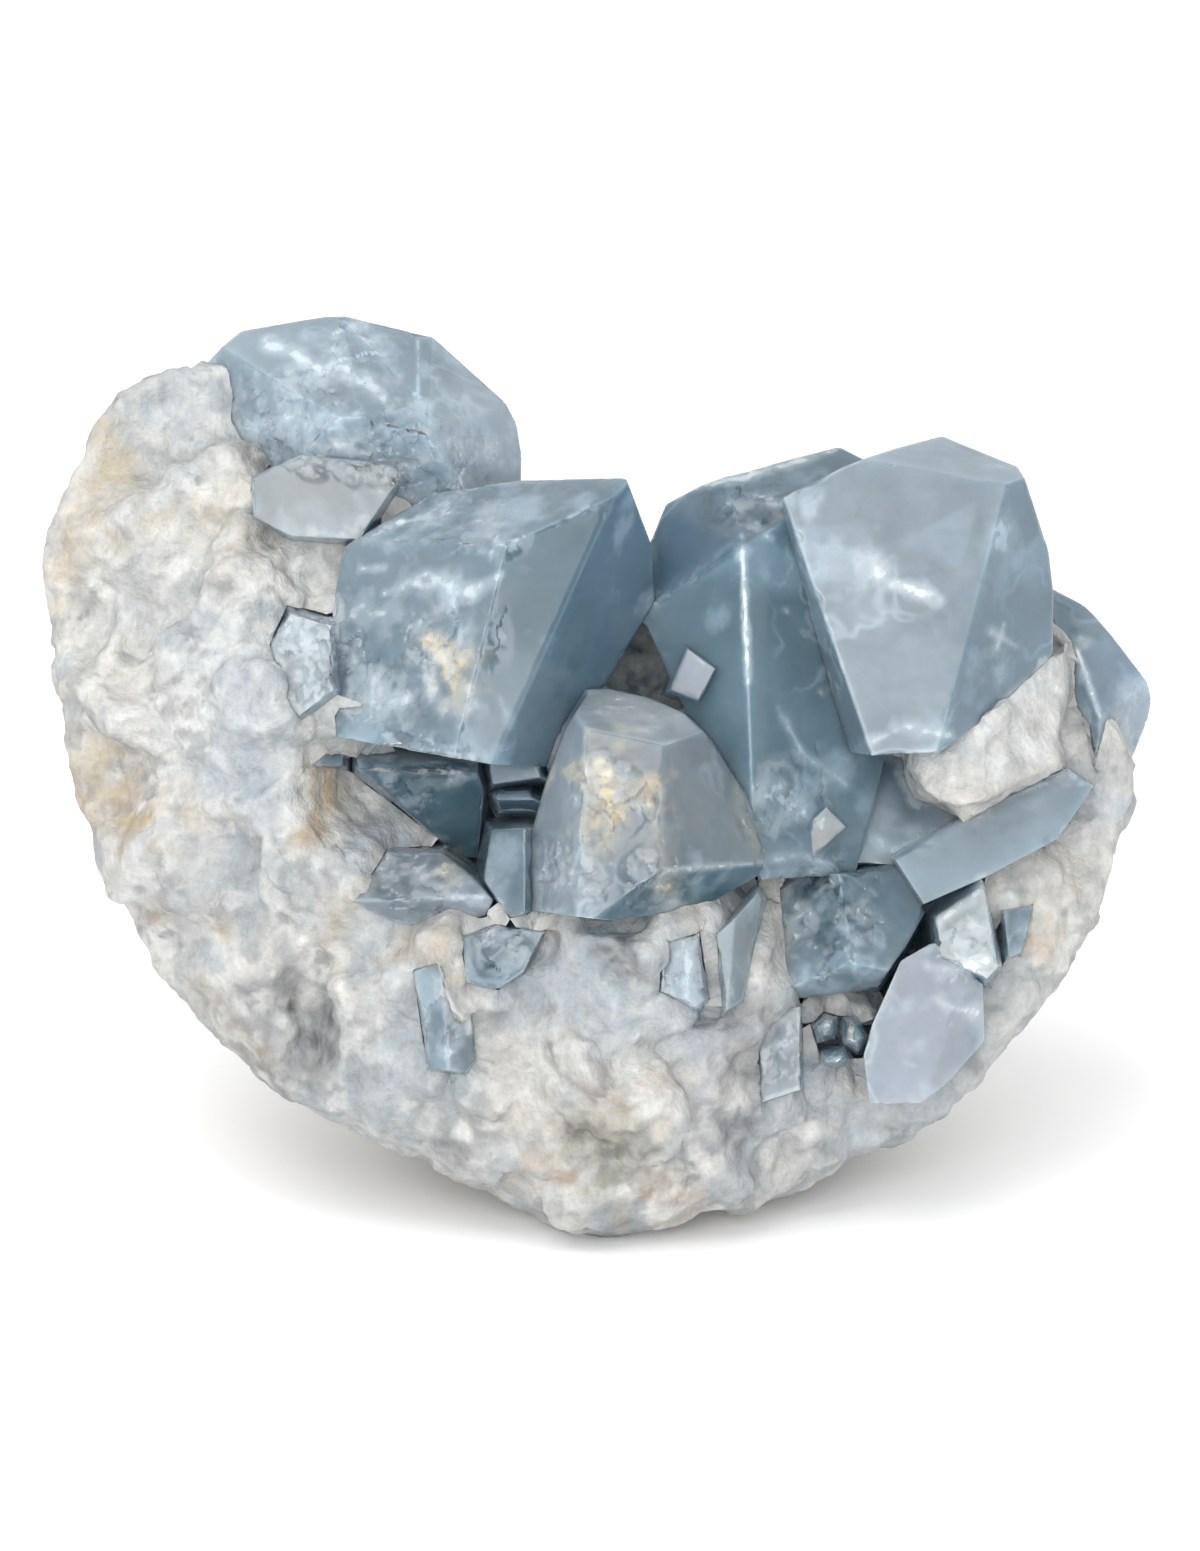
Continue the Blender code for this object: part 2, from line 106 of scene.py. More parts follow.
def lattice(cells, salt):
    """One number from 0 to 1 for each whole-numbered cell."""
    c = cells.astype(np.int64).astype(np.uint64)
    h = c[:, 0] * np.uint64(374761393) + c[:, 1] * np.uint64(668265263)
    h += c[:, 2] * np.uint64(1442695041) + np.uint64(salt * 974634777 + 12345)
    h &= np.uint64(0xFFFFFFFF)
    h = ((h ^ (h >> np.uint64(13))) * np.uint64(1274126177)) & np.uint64(0xFFFFFFFF)
    h = ((h ^ (h >> np.uint64(16))) * np.uint64(2246822519)) & np.uint64(0xFFFFFFFF)
    return (h ^ (h >> np.uint64(15))).astype(float) / 4294967295.0


def cloud(points, cell, salt):
    """Smooth noise from -1 to 1."""
    place = points / cell
    base = np.floor(place)
    part = place - base
    part = part * part * (3 - 2 * part)
    total = np.zeros(len(points))
    for corner in np.ndindex(2, 2, 2):
        share = np.prod(np.where(corner, part, 1 - part), axis=1)
        total += share * lattice(base + corner, salt)
    return total * 2 - 1


def clouds(points, cell, octaves, salt):
    """Several sizes of smooth noise, each half the size and height of the last."""
    return sum(cloud(points, cell / 2**i, salt + i) * 0.5**i for i in range(octaves))


def bent(points, cell, reach, salt):
    """The points moved about smoothly, so that what is worked out from them wanders."""
    return points + reach * np.stack([clouds(points, cell, 2, salt + i) for i in range(3)], axis=1)


def fibres(points, cell, salt):
    """Noise drawn out along the mineral's ways of growing, each way ruling in patches of its own."""
    total = np.zeros(len(points))
    for number, way in enumerate(FIBRE_WAYS):
        way = np.array(way) / np.linalg.norm(way)
        drawn = points - np.outer(points @ way * FIBRE_STRETCH, way)
        rules = smooth(-0.3, 0.3, cloud(points, FIBRE_PATCH, salt + 50 + number))
        total += rules * clouds(drawn, cell, 3, salt + 10 * number)
    return total


def wisps(points, cell, salt):
    """Thin wandering sheets: 1 on them and 0 away from them."""
    return smooth(0.22, 0.0, np.abs(clouds(bent(points, cell, cell * 0.5, salt), cell, 3, salt + 9)))


def grains(points, cell, salt, steepness=0.5):
    """A surface broken into flat, tilted grains about a cell wide.

    Gives the height, a number from 0 to 1 that each grain has to itself, and how far inside its
    grain a point is.
    """
    place = points / cell
    base = np.floor(place)
    nearest, second = np.full((2, len(points)), np.inf)
    height, own = np.zeros((2, len(points)))
    for step in np.ndindex(3, 3, 3):
        cells = base + np.array(step) - 1
        middle = cells + np.stack([lattice(cells, salt + i) for i in range(3)], axis=1)
        away = place - middle
        distance = np.sqrt((away**2).sum(axis=1))
        slope = np.stack([lattice(cells, salt + 3 + i) - 0.5 for i in range(3)], axis=1)
        number = lattice(cells, salt + 6)
        here = (away * slope).sum(axis=1) * 4 * steepness + (number - 0.5) * 0.7
        closer = distance < nearest
        second = np.where(closer, nearest, np.minimum(second, distance))
        nearest = np.where(closer, distance, nearest)
        height = np.where(closer, here, height)
        own = np.where(closer, number, own)
    return height, own, second - nearest


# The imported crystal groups, in the order that each gives way to the ones before it.
GROUPS = (
    "upper_left_crystals", "right_crystals", "front_crystals", "pocket_crystals", "lower_right_crystals",
)

# Meshes as arrays: points in millimetres, triangles, and the flat face that each triangle is part of.


def solid_of(node):
    """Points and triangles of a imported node, with the corners that share a place joined."""
    mesh = node.data
    mesh.calc_loop_triangles()
    points = np.empty(len(mesh.vertices) * 3, np.float32)
    mesh.vertices.foreach_get("co", points)
    triangles = np.empty(len(mesh.loop_triangles) * 3, np.int32)
    mesh.loop_triangles.foreach_get("vertices", triangles)
    points = points.reshape(-1, 3).astype(float) / MM
    places, index = np.unique(np.round(points, 4), axis=0, return_inverse=True)
    triangles = index.reshape(-1)[triangles.reshape(-1, 3)]
    sides = [triangles[:, i] != triangles[:, (i + 1) % 3] for i in range(3)]
    return places, triangles[sides[0] & sides[1] & sides[2]]


def cross_of(points, triangles):
    a, b, c = (points[triangles[:, i]] for i in range(3))
    return np.cross(b - a, c - a)


def unit(ways):
    """The same directions, one long."""
    return ways / np.maximum(np.linalg.norm(ways, axis=1, keepdims=True), 1e-12)


def normals_of(points, triangles):
    """The direction that each point faces."""
    total = np.zeros_like(points)
    crosses = cross_of(points, triangles)
    for i in range(3):
        np.add.at(total, triangles[:, i], crosses)
    return unit(total)


def edges_of(triangles):
    """Each edge once, as low and high point, and the edge number of each triangle's three sides."""
    sides = np.stack([triangles, np.roll(triangles, -1, axis=1)], axis=2).reshape(-1, 2)
    sides = np.sort(sides.astype(np.int64), axis=1)
    count = triangles.max() + 1
    keys, index = np.unique(sides[:, 0] * count + sides[:, 1], return_inverse=True)
    return np.stack([keys // count, keys % count], axis=1), index.reshape(-1, 3)


def refine(points, triangles, face, size, rounds=9):
    """Halves each edge that is longer than the size asked for at its ends."""
    for _ in range(rounds):
        edges, sides = edges_of(triangles)
        ends = points[edges]
        length = np.linalg.norm(ends[:, 0] - ends[:, 1], axis=1)
        asked = size[edges].mean(axis=1)
        long = length > asked * 1.35
        if not long.any():
            break
        middle = np.full(len(edges), -1)
        middle[long] = len(points) + np.arange(long.sum())
        points = np.concatenate([points, ends[long].mean(axis=1)])
        size = np.concatenate([size, asked[long]])
        triangles, face = split(points, triangles, face, middle[sides])
    return points, triangles, face, size


def split(points, triangles, face, middle):
    """The triangles after their marked sides are halved."""
    marks = (middle >= 0).sum(axis=1)
    out, out_face = [triangles[marks == 0]], [face[marks == 0]]

    def add(chosen, *corners):
        out.append(np.stack(corners, axis=1))
        out_face.append(face[chosen])

    every = np.nonzero(marks == 3)[0]
    (a, b, c), (ab, bc, ca) = triangles[every].T, middle[every].T
    for corners in ((a, ab, ca), (ab, b, bc), (ca, bc, c), (ab, bc, ca)):
        add(every, *corners)
    for count in (1, 2):
        for turn in range(3):
            order = [(i + turn) % 3 for i in range(3)]
            side = middle[:, order]
            fits = (side[:, 0] >= 0) & (side[:, 1] < 0) & (side[:, 2] < 0)
            if count == 2:
                fits = (side[:, 0] >= 0) & (side[:, 1] >= 0) & (side[:, 2] < 0)
            chosen = np.nonzero(fits)[0]
            a, b, c = triangles[chosen][:, order].T
            ab, bc, _ = side[chosen].T
            if count == 1:
                add(chosen, a, ab, c)
                add(chosen, ab, b, c)
                continue
            add(chosen, ab, b, bc)
            one = np.linalg.norm(points[a] - points[bc], axis=1)
            other = np.linalg.norm(points[ab] - points[c], axis=1)
            near = one < other
            for part, corners in (
                (near, (a, ab, bc)), (near, (a, bc, c)),
                (~near, (a, ab, c)), (~near, (ab, bc, c)),
            ):
                add(chosen[part], *(corner[part] for corner in corners))
    return np.concatenate(out), np.concatenate(out_face)


def tree_of(solids):
    """A search tree over the triangles of several solids."""
    points, triangles, start = [], [], 0
    for solid_points, solid_triangles in solids:
        points.append(solid_points)
        triangles.append(solid_triangles + start)
        start += len(solid_points)
    points, triangles = np.concatenate(points), np.concatenate(triangles)
    return BVHTree.FromPolygons(points.tolist(), triangles.tolist())


def flat_faces(points, triangles):
    """Which flat face each triangle is part of."""
    crosses = cross_of(points, triangles)
    normal = unit(crosses)
    _, sides = edges_of(triangles)
    on_edge = {}
    for triangle, three in enumerate(sides):
        for edge in three:
            on_edge.setdefault(edge, []).append(triangle)
    face = np.full(len(triangles), -1)
    count = 0
    for start in np.argsort(-np.linalg.norm(crosses, axis=1)):
        if face[start] >= 0:
            continue
        face[start] = count
        waiting = [start]
        while waiting:
            here = waiting.pop()
            for edge in sides[here]:
                for other in on_edge[edge]:
                    if face[other] < 0 and normal[other] @ normal[start] > 0.9995:
                        face[other] = count
                        waiting.append(other)
        count += 1
    return face


# The colours: blues and greys, roughly from the palest to the darkest, and then the warm ones.
TONES = {
    "white": (228, 229, 226), "milk": (208, 212, 214), "chalk": (212, 211, 207), "stone": (200, 200, 197),
    "frost": (188, 198, 206), "lavender": (186, 189, 198), "mist": (176, 180, 183), "pearl": (172, 184, 192),
    "grey": (164, 173, 180), "haze": (153, 168, 178), "ash": (156, 158, 158), "lilac": (142, 157, 173),
    "steel": (136, 153, 164), "smoke": (134, 142, 148), "teal": (122, 145, 157), "slate": (116, 134, 145),
    "blue": (106, 132, 150), "deep": (88, 116, 129), "ink": (68, 86, 97), "soot": (108, 109, 108),
    "pit": (78, 80, 79),
    "cream": (221, 211, 196), "beige": (204, 188, 158), "tan": (190, 168, 132), "brown": (166, 142, 116),
    "rust": (188, 150, 118), "olive": (134, 134, 114),
}

# A flat face's colour depends on how deep the crystal is behind it, and partly on painted light and
# shade: each tone is lighter or darker by how the light falls on that face and how much it reflects.
# So each face that is seen from the front has its own tone, after the photo: a place on it, across
# and down, and the tone.
FACE_TONES_WITH_SHADE = (
    # The domed crystal at the upper left, the smooth broken face under it and the small crystal
    # beside the middle one.
    (262, 372, "haze"), (330, 350, "pearl"), (395, 370, "haze"), (470, 395, "pearl"), (500, 430, "pearl"),
    (380, 462, "haze"), (280, 500, "ash"), (275, 660, "milk"), (325, 670, "milk"),
    # The broad middle crystal of the left side.
    (480, 495, "steel"), (480, 560, "steel"), (540, 600, "deep"), (600, 600, "blue"),
    # The tall crystal.
    (675, 545, "blue"), (700, 720, "teal"), (790, 650, "teal"), (800, 560, "steel"), (775, 490, "slate"),
    # The broad crystal.
    (890, 600, "grey"), (1020, 600, "steel"), (930, 458, "pearl"),
    # The outer crystal, the sloping prism, the rhomb and the cube.
    (1065, 640, "steel"), (1120, 690, "lilac"), (1130, 720, "haze"), (1080, 625, "steel"),
    (970, 850, "pearl"),
    (693, 675, "lavender"), (826, 830, "stone"),
    # The blunt crystal in front and the prisms under it.
    (600, 850, "smoke"), (560, 860, "grey"), (705, 790, "smoke"), (630, 715, "mist"), (710, 888, "deep"),
    (668, 975, "frost"), (700, 960, "frost"), (722, 965, "frost"), (750, 940, "mist"),
    # The pocket, whose dark face tones are painted shade, and what stands under it.
    (410, 760, "teal"), (440, 800, "deep"), (325, 755, "slate"), (515, 805, "ink"), (515, 770, "haze"),
    (510, 875, "slate"), (420, 870, "smoke"), (430, 915, "smoke"), (500, 950, "slate"), (425, 1020, "steel"),
    (465, 1020, "smoke"),
    # Lower right.
    (890, 910, "steel"), (800, 940, "haze"), (830, 985, "haze"), (960, 930, "stone"), (920, 1040, "lavender"),
    (965, 1030, "lavender"), (1015, 930, "steel"), (778, 1050, "mist"), (825, 1030, "steel"),
    (855, 1035, "mist"),
    (835, 1060, "mist"),
)

# Marks: tone, strength, raggedness, then places with the half width there: across, down, half width.
CRYSTAL_MARKS = (
    # Upper left: white veils, dark flaws and a painted highlight along the lower edge of the domed crystal.
    ("milk", 0.9, 0.5, (266, 342, 5), (290, 352, 6), (320, 368, 5)),
    ("milk", 0.9, 0.5, (335, 362, 4), (360, 378, 6), (384, 397, 3)),
    ("frost", 0.8, 0.6, (352, 328, 4), (378, 350, 6)),
    ("slate", 0.5, 0.8, (262, 398, 5), (330, 402, 6), (345, 392, 4)),
    ("frost", 0.7, 1.0, (240, 428, 8), (300, 420, 12), (352, 428, 8)),
    ("slate", 0.9, 0.6, (372, 424, 5), (402, 425, 6)),
    ("slate", 0.5, 0.5, (428, 352, 8), (442, 382, 10)),
    ("frost", 0.7, 0.2, (418, 340, 1.2), (418, 400, 1.2)),
    ("stone", 0.7, 0.8, (318, 456, 4), (348, 444, 6), (372, 436, 3)),
    # A painted highlight along the domed crystal's lower edge.
    ("lavender", 0.85, 0.5, (398, 474, 4), (430, 450, 7), (455, 441, 8), (500, 462, 8)),
    ("lilac", 0.9, 0.3, (456, 457, 6), (490, 476, 7)),
    ("ash", 0.6, 0.9, (378, 455, 5), (404, 460, 5)),
    ("stone", 0.7, 0.3, (380, 490, 3), (430, 457, 2)),
    ("lavender", 0.4, 0.5, (508, 425, 6), (519, 462, 7)),
    ("stone", 0.5, 0.6, (290, 530, 10), (345, 535, 10)),
    # Middle crystal of the left side.
    ("slate", 0.7, 0.5, (425, 502, 6), (520, 488, 8), (600, 491, 5)),
    ("milk", 0.6, 1.2, (385, 530, 8), (440, 508, 8)),
    ("white", 0.9, 0.4, (390, 523, 3), (402, 521, 4)),
    ("white", 0.8, 0.3, (362, 569, 2), (384, 568, 2.5)),
    ("milk", 0.6, 1.2, (490, 535, 8), (516, 542, 6)),
    ("milk", 0.9, 0.4, (384, 594, 2), (412, 583, 6), (440, 578, 7), (452, 592, 5)),
    ("frost", 0.85, 0.4, (448, 588, 6), (458, 622, 7), (457, 655, 6)),
    ("milk", 0.85, 0.4, (468, 592, 5), (492, 581, 3), (500, 575, 2)),
    ("haze", 0.7, 0.5, (424, 608, 8), (440, 642, 9)),
    ("tan", 0.95, 0.8, (438, 645, 10), (452, 668, 14), (460, 694, 10)),
    ("beige", 0.5, 1.3, (446, 655, 6), (456, 688, 6)),
    ("stone", 0.7, 0.8, (428, 660, 7), (436, 700, 7), (452, 712, 8)),
    ("steel", 0.5, 0.4, (365, 562, 8), (350, 605, 10)),
    ("milk", 0.75, 0.9, (342, 612, 8), (372, 618, 8), (398, 602, 4)),
    ("milk", 0.8, 0.5, (340, 640, 5), (358, 668, 6), (402, 702, 4)),
    ("milk", 0.7, 0.5, (330, 706, 4), (372, 702, 5), (410, 696, 3)),
    ("teal", 0.6, 0.5, (346, 692, 8), (362, 665, 8)),
    ("frost", 0.6, 0.7, (468, 690, 4), (482, 712, 5)),
    ("frost", 0.7, 0.6, (500, 698, 2), (510, 722, 3)),
    ("steel", 0.6, 0.3, (490, 745, 14), (530, 705, 12)),
    ("deep", 0.6, 0.3, (520, 552, 8), (606, 500, 7)),
    ("deep", 0.7, 0.3, (578, 592, 10), (570, 690, 14)),
    ("steel", 0.35, 0.3, (622, 540, 7), (610, 610, 10)),
    # Tall crystal.
    ("white", 0.95, 0.2, (741, 553, 4.5), (743, 562, 2), (748, 682, 1.8)),
    ("frost", 0.3, 0.2, (748, 690, 1.3), (751, 800, 1.3)),
    ("haze", 0.8, 0.2, (652, 607, 3), (690, 576, 4), (730, 545, 3)),
    ("ink", 0.85, 0.5, (706, 498, 8), (730, 520, 14), (772, 512, 8)),
    ("slate", 0.6, 0.4, (742, 502, 6), (800, 480, 7), (846, 463, 5)),
    ("stone", 0.85, 0.2, (690, 490, 2), (760, 471, 3), (832, 451, 2)),
    ("milk", 0.9, 0.3, (766, 536, 3), (770, 538, 2)), ("milk", 0.9, 0.3, (785, 610, 2.5), (787, 612, 2)),
    ("milk", 0.9, 0.3, (820, 692, 2.5), (822, 694, 2)), ("stone", 0.8, 0.6, (768, 500, 4), (782, 506, 5)),
    ("lilac", 0.6, 0.3, (768, 690, 10), (805, 732, 17), (848, 758, 8)),
    ("frost", 0.7, 0.3, (778, 708, 2.5), (802, 752, 3), (846, 784, 3)),
    ("deep", 0.65, 0.5, (760, 780, 22), (808, 800, 22), (800, 838, 14)),
    ("frost", 0.7, 0.7, (762, 862, 3), (800, 854, 4), (834, 866, 3)),
    ("frost", 0.8, 1.4, (766, 792, 5), (800, 812, 5)),
    # Broad crystal: chips on its flat front, and its teal right part.
    ("white", 1.0, 0.3, (880, 570, 8.5), (881, 571, 8)),
    ("white", 0.95, 0.6, (896, 581, 3), (912, 588, 4.5), (938, 600, 3)),
    ("white", 1.0, 0.2, (992, 632, 3), (1016, 646, 1.5)),
    ("white", 1.0, 0.2, (1004, 624, 1.5), (997, 649, 3)),
    ("teal", 0.85, 0.35, (1042, 600, 30), (1018, 650, 34), (985, 700, 24)),
    ("steel", 0.7, 0.35, (1016, 500, 14), (1030, 560, 22), (1020, 600, 26)),
    ("frost", 0.7, 0.4, (1000, 520, 6), (1004, 545, 8)),
    ("lilac", 0.8, 0.3, (1012, 562, 5), (1046, 572, 6)),
    ("steel", 0.5, 0.5, (938, 568, 4), (944, 572, 4)),
    ("milk", 0.7, 0.7, (868, 744, 3), (905, 727, 4), (950, 736, 3)),
    # Outer crystal, white lump's neighbours and the sloping prism.
    ("white", 0.95, 0.2, (1077, 650, 1.6), (1088, 684, 2), (1100, 717, 1.4)),
    ("white", 0.9, 0.4, (1080, 638, 3), (1084, 642, 4)),
    ("blue", 0.7, 0.4, (1092, 724, 6), (1088, 768, 7)),
    ("deep", 0.7, 0.5, (1062, 606, 6), (1076, 634, 6)),
    ("lavender", 0.6, 0.5, (1128, 700, 10), (1110, 752, 10)),
    ("lavender", 0.8, 1.1, (1070, 770, 5), (1092, 766, 5)),
    ("frost", 0.8, 0.2, (893, 850, 2), (1000, 801, 2), (1046, 783, 2)),
    ("haze", 0.6, 0.3, (905, 880, 12), (945, 872, 10)),
    ("steel", 0.55, 0.4, (975, 838, 10), (1015, 822, 12)),
    ("slate", 0.8, 0.5, (1046, 838, 7), (1052, 848, 6)),
    ("frost", 0.8, 0.8, (878, 838, 3), (884, 842, 4)),
    # Blunt crystal in front.
    ("stone", 0.6, 0.6, (602, 706, 8), (650, 714, 8)),
    ("haze", 0.5, 0.6, (572, 742, 8), (556, 800, 10), (552, 862, 10)),
    ("tan", 0.95, 0.8, (600, 776, 17), (624, 790, 17), (612, 824, 15), (606, 846, 8)),
    ("beige", 0.5, 1.4, (596, 778, 10), (612, 812, 11)),
    ("tan", 0.85, 0.9, (640, 788, 5), (656, 822, 6), (662, 862, 6), (666, 888, 8)),
    ("slate", 0.8, 0.4, (612, 876, 14), (640, 852, 18), (656, 870, 8)),
    ("stone", 0.5, 1.1, (574, 868, 10), (586, 890, 10)),
    ("olive", 0.75, 0.6, (738, 788, 5), (754, 842, 7)),
    ("slate", 0.6, 0.4, (690, 852, 10), (742, 852, 8)),
    ("stone", 0.7, 0.4, (668, 872, 1.6), (702, 868, 1.8), (752, 864, 1.6)),
    # The pocket and what stands under it.
    ("steel", 0.85, 1.3, (392, 760, 6), (440, 770, 7), (470, 772, 4)),
    ("slate", 0.5, 0.5, (382, 800, 10), (430, 822, 10)),
    ("smoke", 0.7, 0.7, (392, 868, 8), (446, 884, 12)),
    ("soot", 0.5, 0.8, (400, 880, 5), (420, 888, 6)),
    ("lavender", 0.7, 0.5, (452, 890, 9), (484, 906, 10)),
    ("beige", 0.8, 0.8, (446, 862, 8), (450, 868, 8)),
    ("soot", 0.5, 1.2, (480, 940, 12), (520, 950, 12)),
    ("milk", 0.75, 0.6, (438, 1046, 7), (448, 1052, 8)),
    ("pearl", 0.5, 0.9, (414, 980, 4), (420, 1050, 4)), ("pearl", 0.5, 0.9, (455, 985, 3), (458, 1060, 3)),
    ("milk", 0.7, 0.5, (690, 950, 3), (690, 1014, 3)), ("milk", 0.5, 0.6, (668, 960, 3), (670, 1000, 3)),
    ("milk", 0.6, 0.9, (735, 900, 6), (758, 892, 5)),
    # Lower right, with painted glints on the dark crystal.
    ("deep", 0.9, 0.9, (806, 882, 12), (838, 900, 16), (826, 955, 16)),
    ("ink", 0.8, 1.1, (800, 885, 6), (848, 905, 6), (820, 970, 6)),
    # The two marks on the next line are painted glints on the dark crystal.
    ("white", 0.95, 0.4, (795, 905, 3), (806, 912, 4)), ("milk", 0.9, 0.4, (838, 925, 2), (846, 930, 2)),
    ("frost", 0.7, 0.4, (858, 938, 1.6), (854, 970, 2)), ("frost", 0.85, 0.9, (766, 962, 5), (784, 980, 6)),
    ("steel", 0.7, 0.6, (772, 900, 9), (764, 952, 10)),
    ("haze", 0.7, 0.4, (768, 872, 2.5), (832, 868, 2.5)),
    ("white", 0.8, 0.4, (940, 922, 3), (986, 882, 5), (996, 930, 4), (1002, 965, 3)),
    ("soot", 0.9, 0.4, (929, 918, 4), (933, 919, 3)), ("slate", 0.8, 0.5, (946, 925, 2), (948, 926, 2)),
    ("pearl", 0.8, 0.5, (938, 938, 7), (962, 950, 6)),
    ("white", 0.8, 0.4, (928, 966, 3), (960, 971, 4), (986, 960, 3)),
    ("white", 0.85, 0.4, (934, 998, 3), (952, 1008, 4), (976, 1012, 4)),
    ("lilac", 0.7, 0.4, (974, 1040, 7), (966, 1052, 6)),
    ("steel", 0.5, 0.6, (776, 1006, 3), (780, 1100, 3)),
    ("frost", 0.8, 1.2, (828, 1022, 4), (846, 1040, 4), (826, 1060, 3)),
)

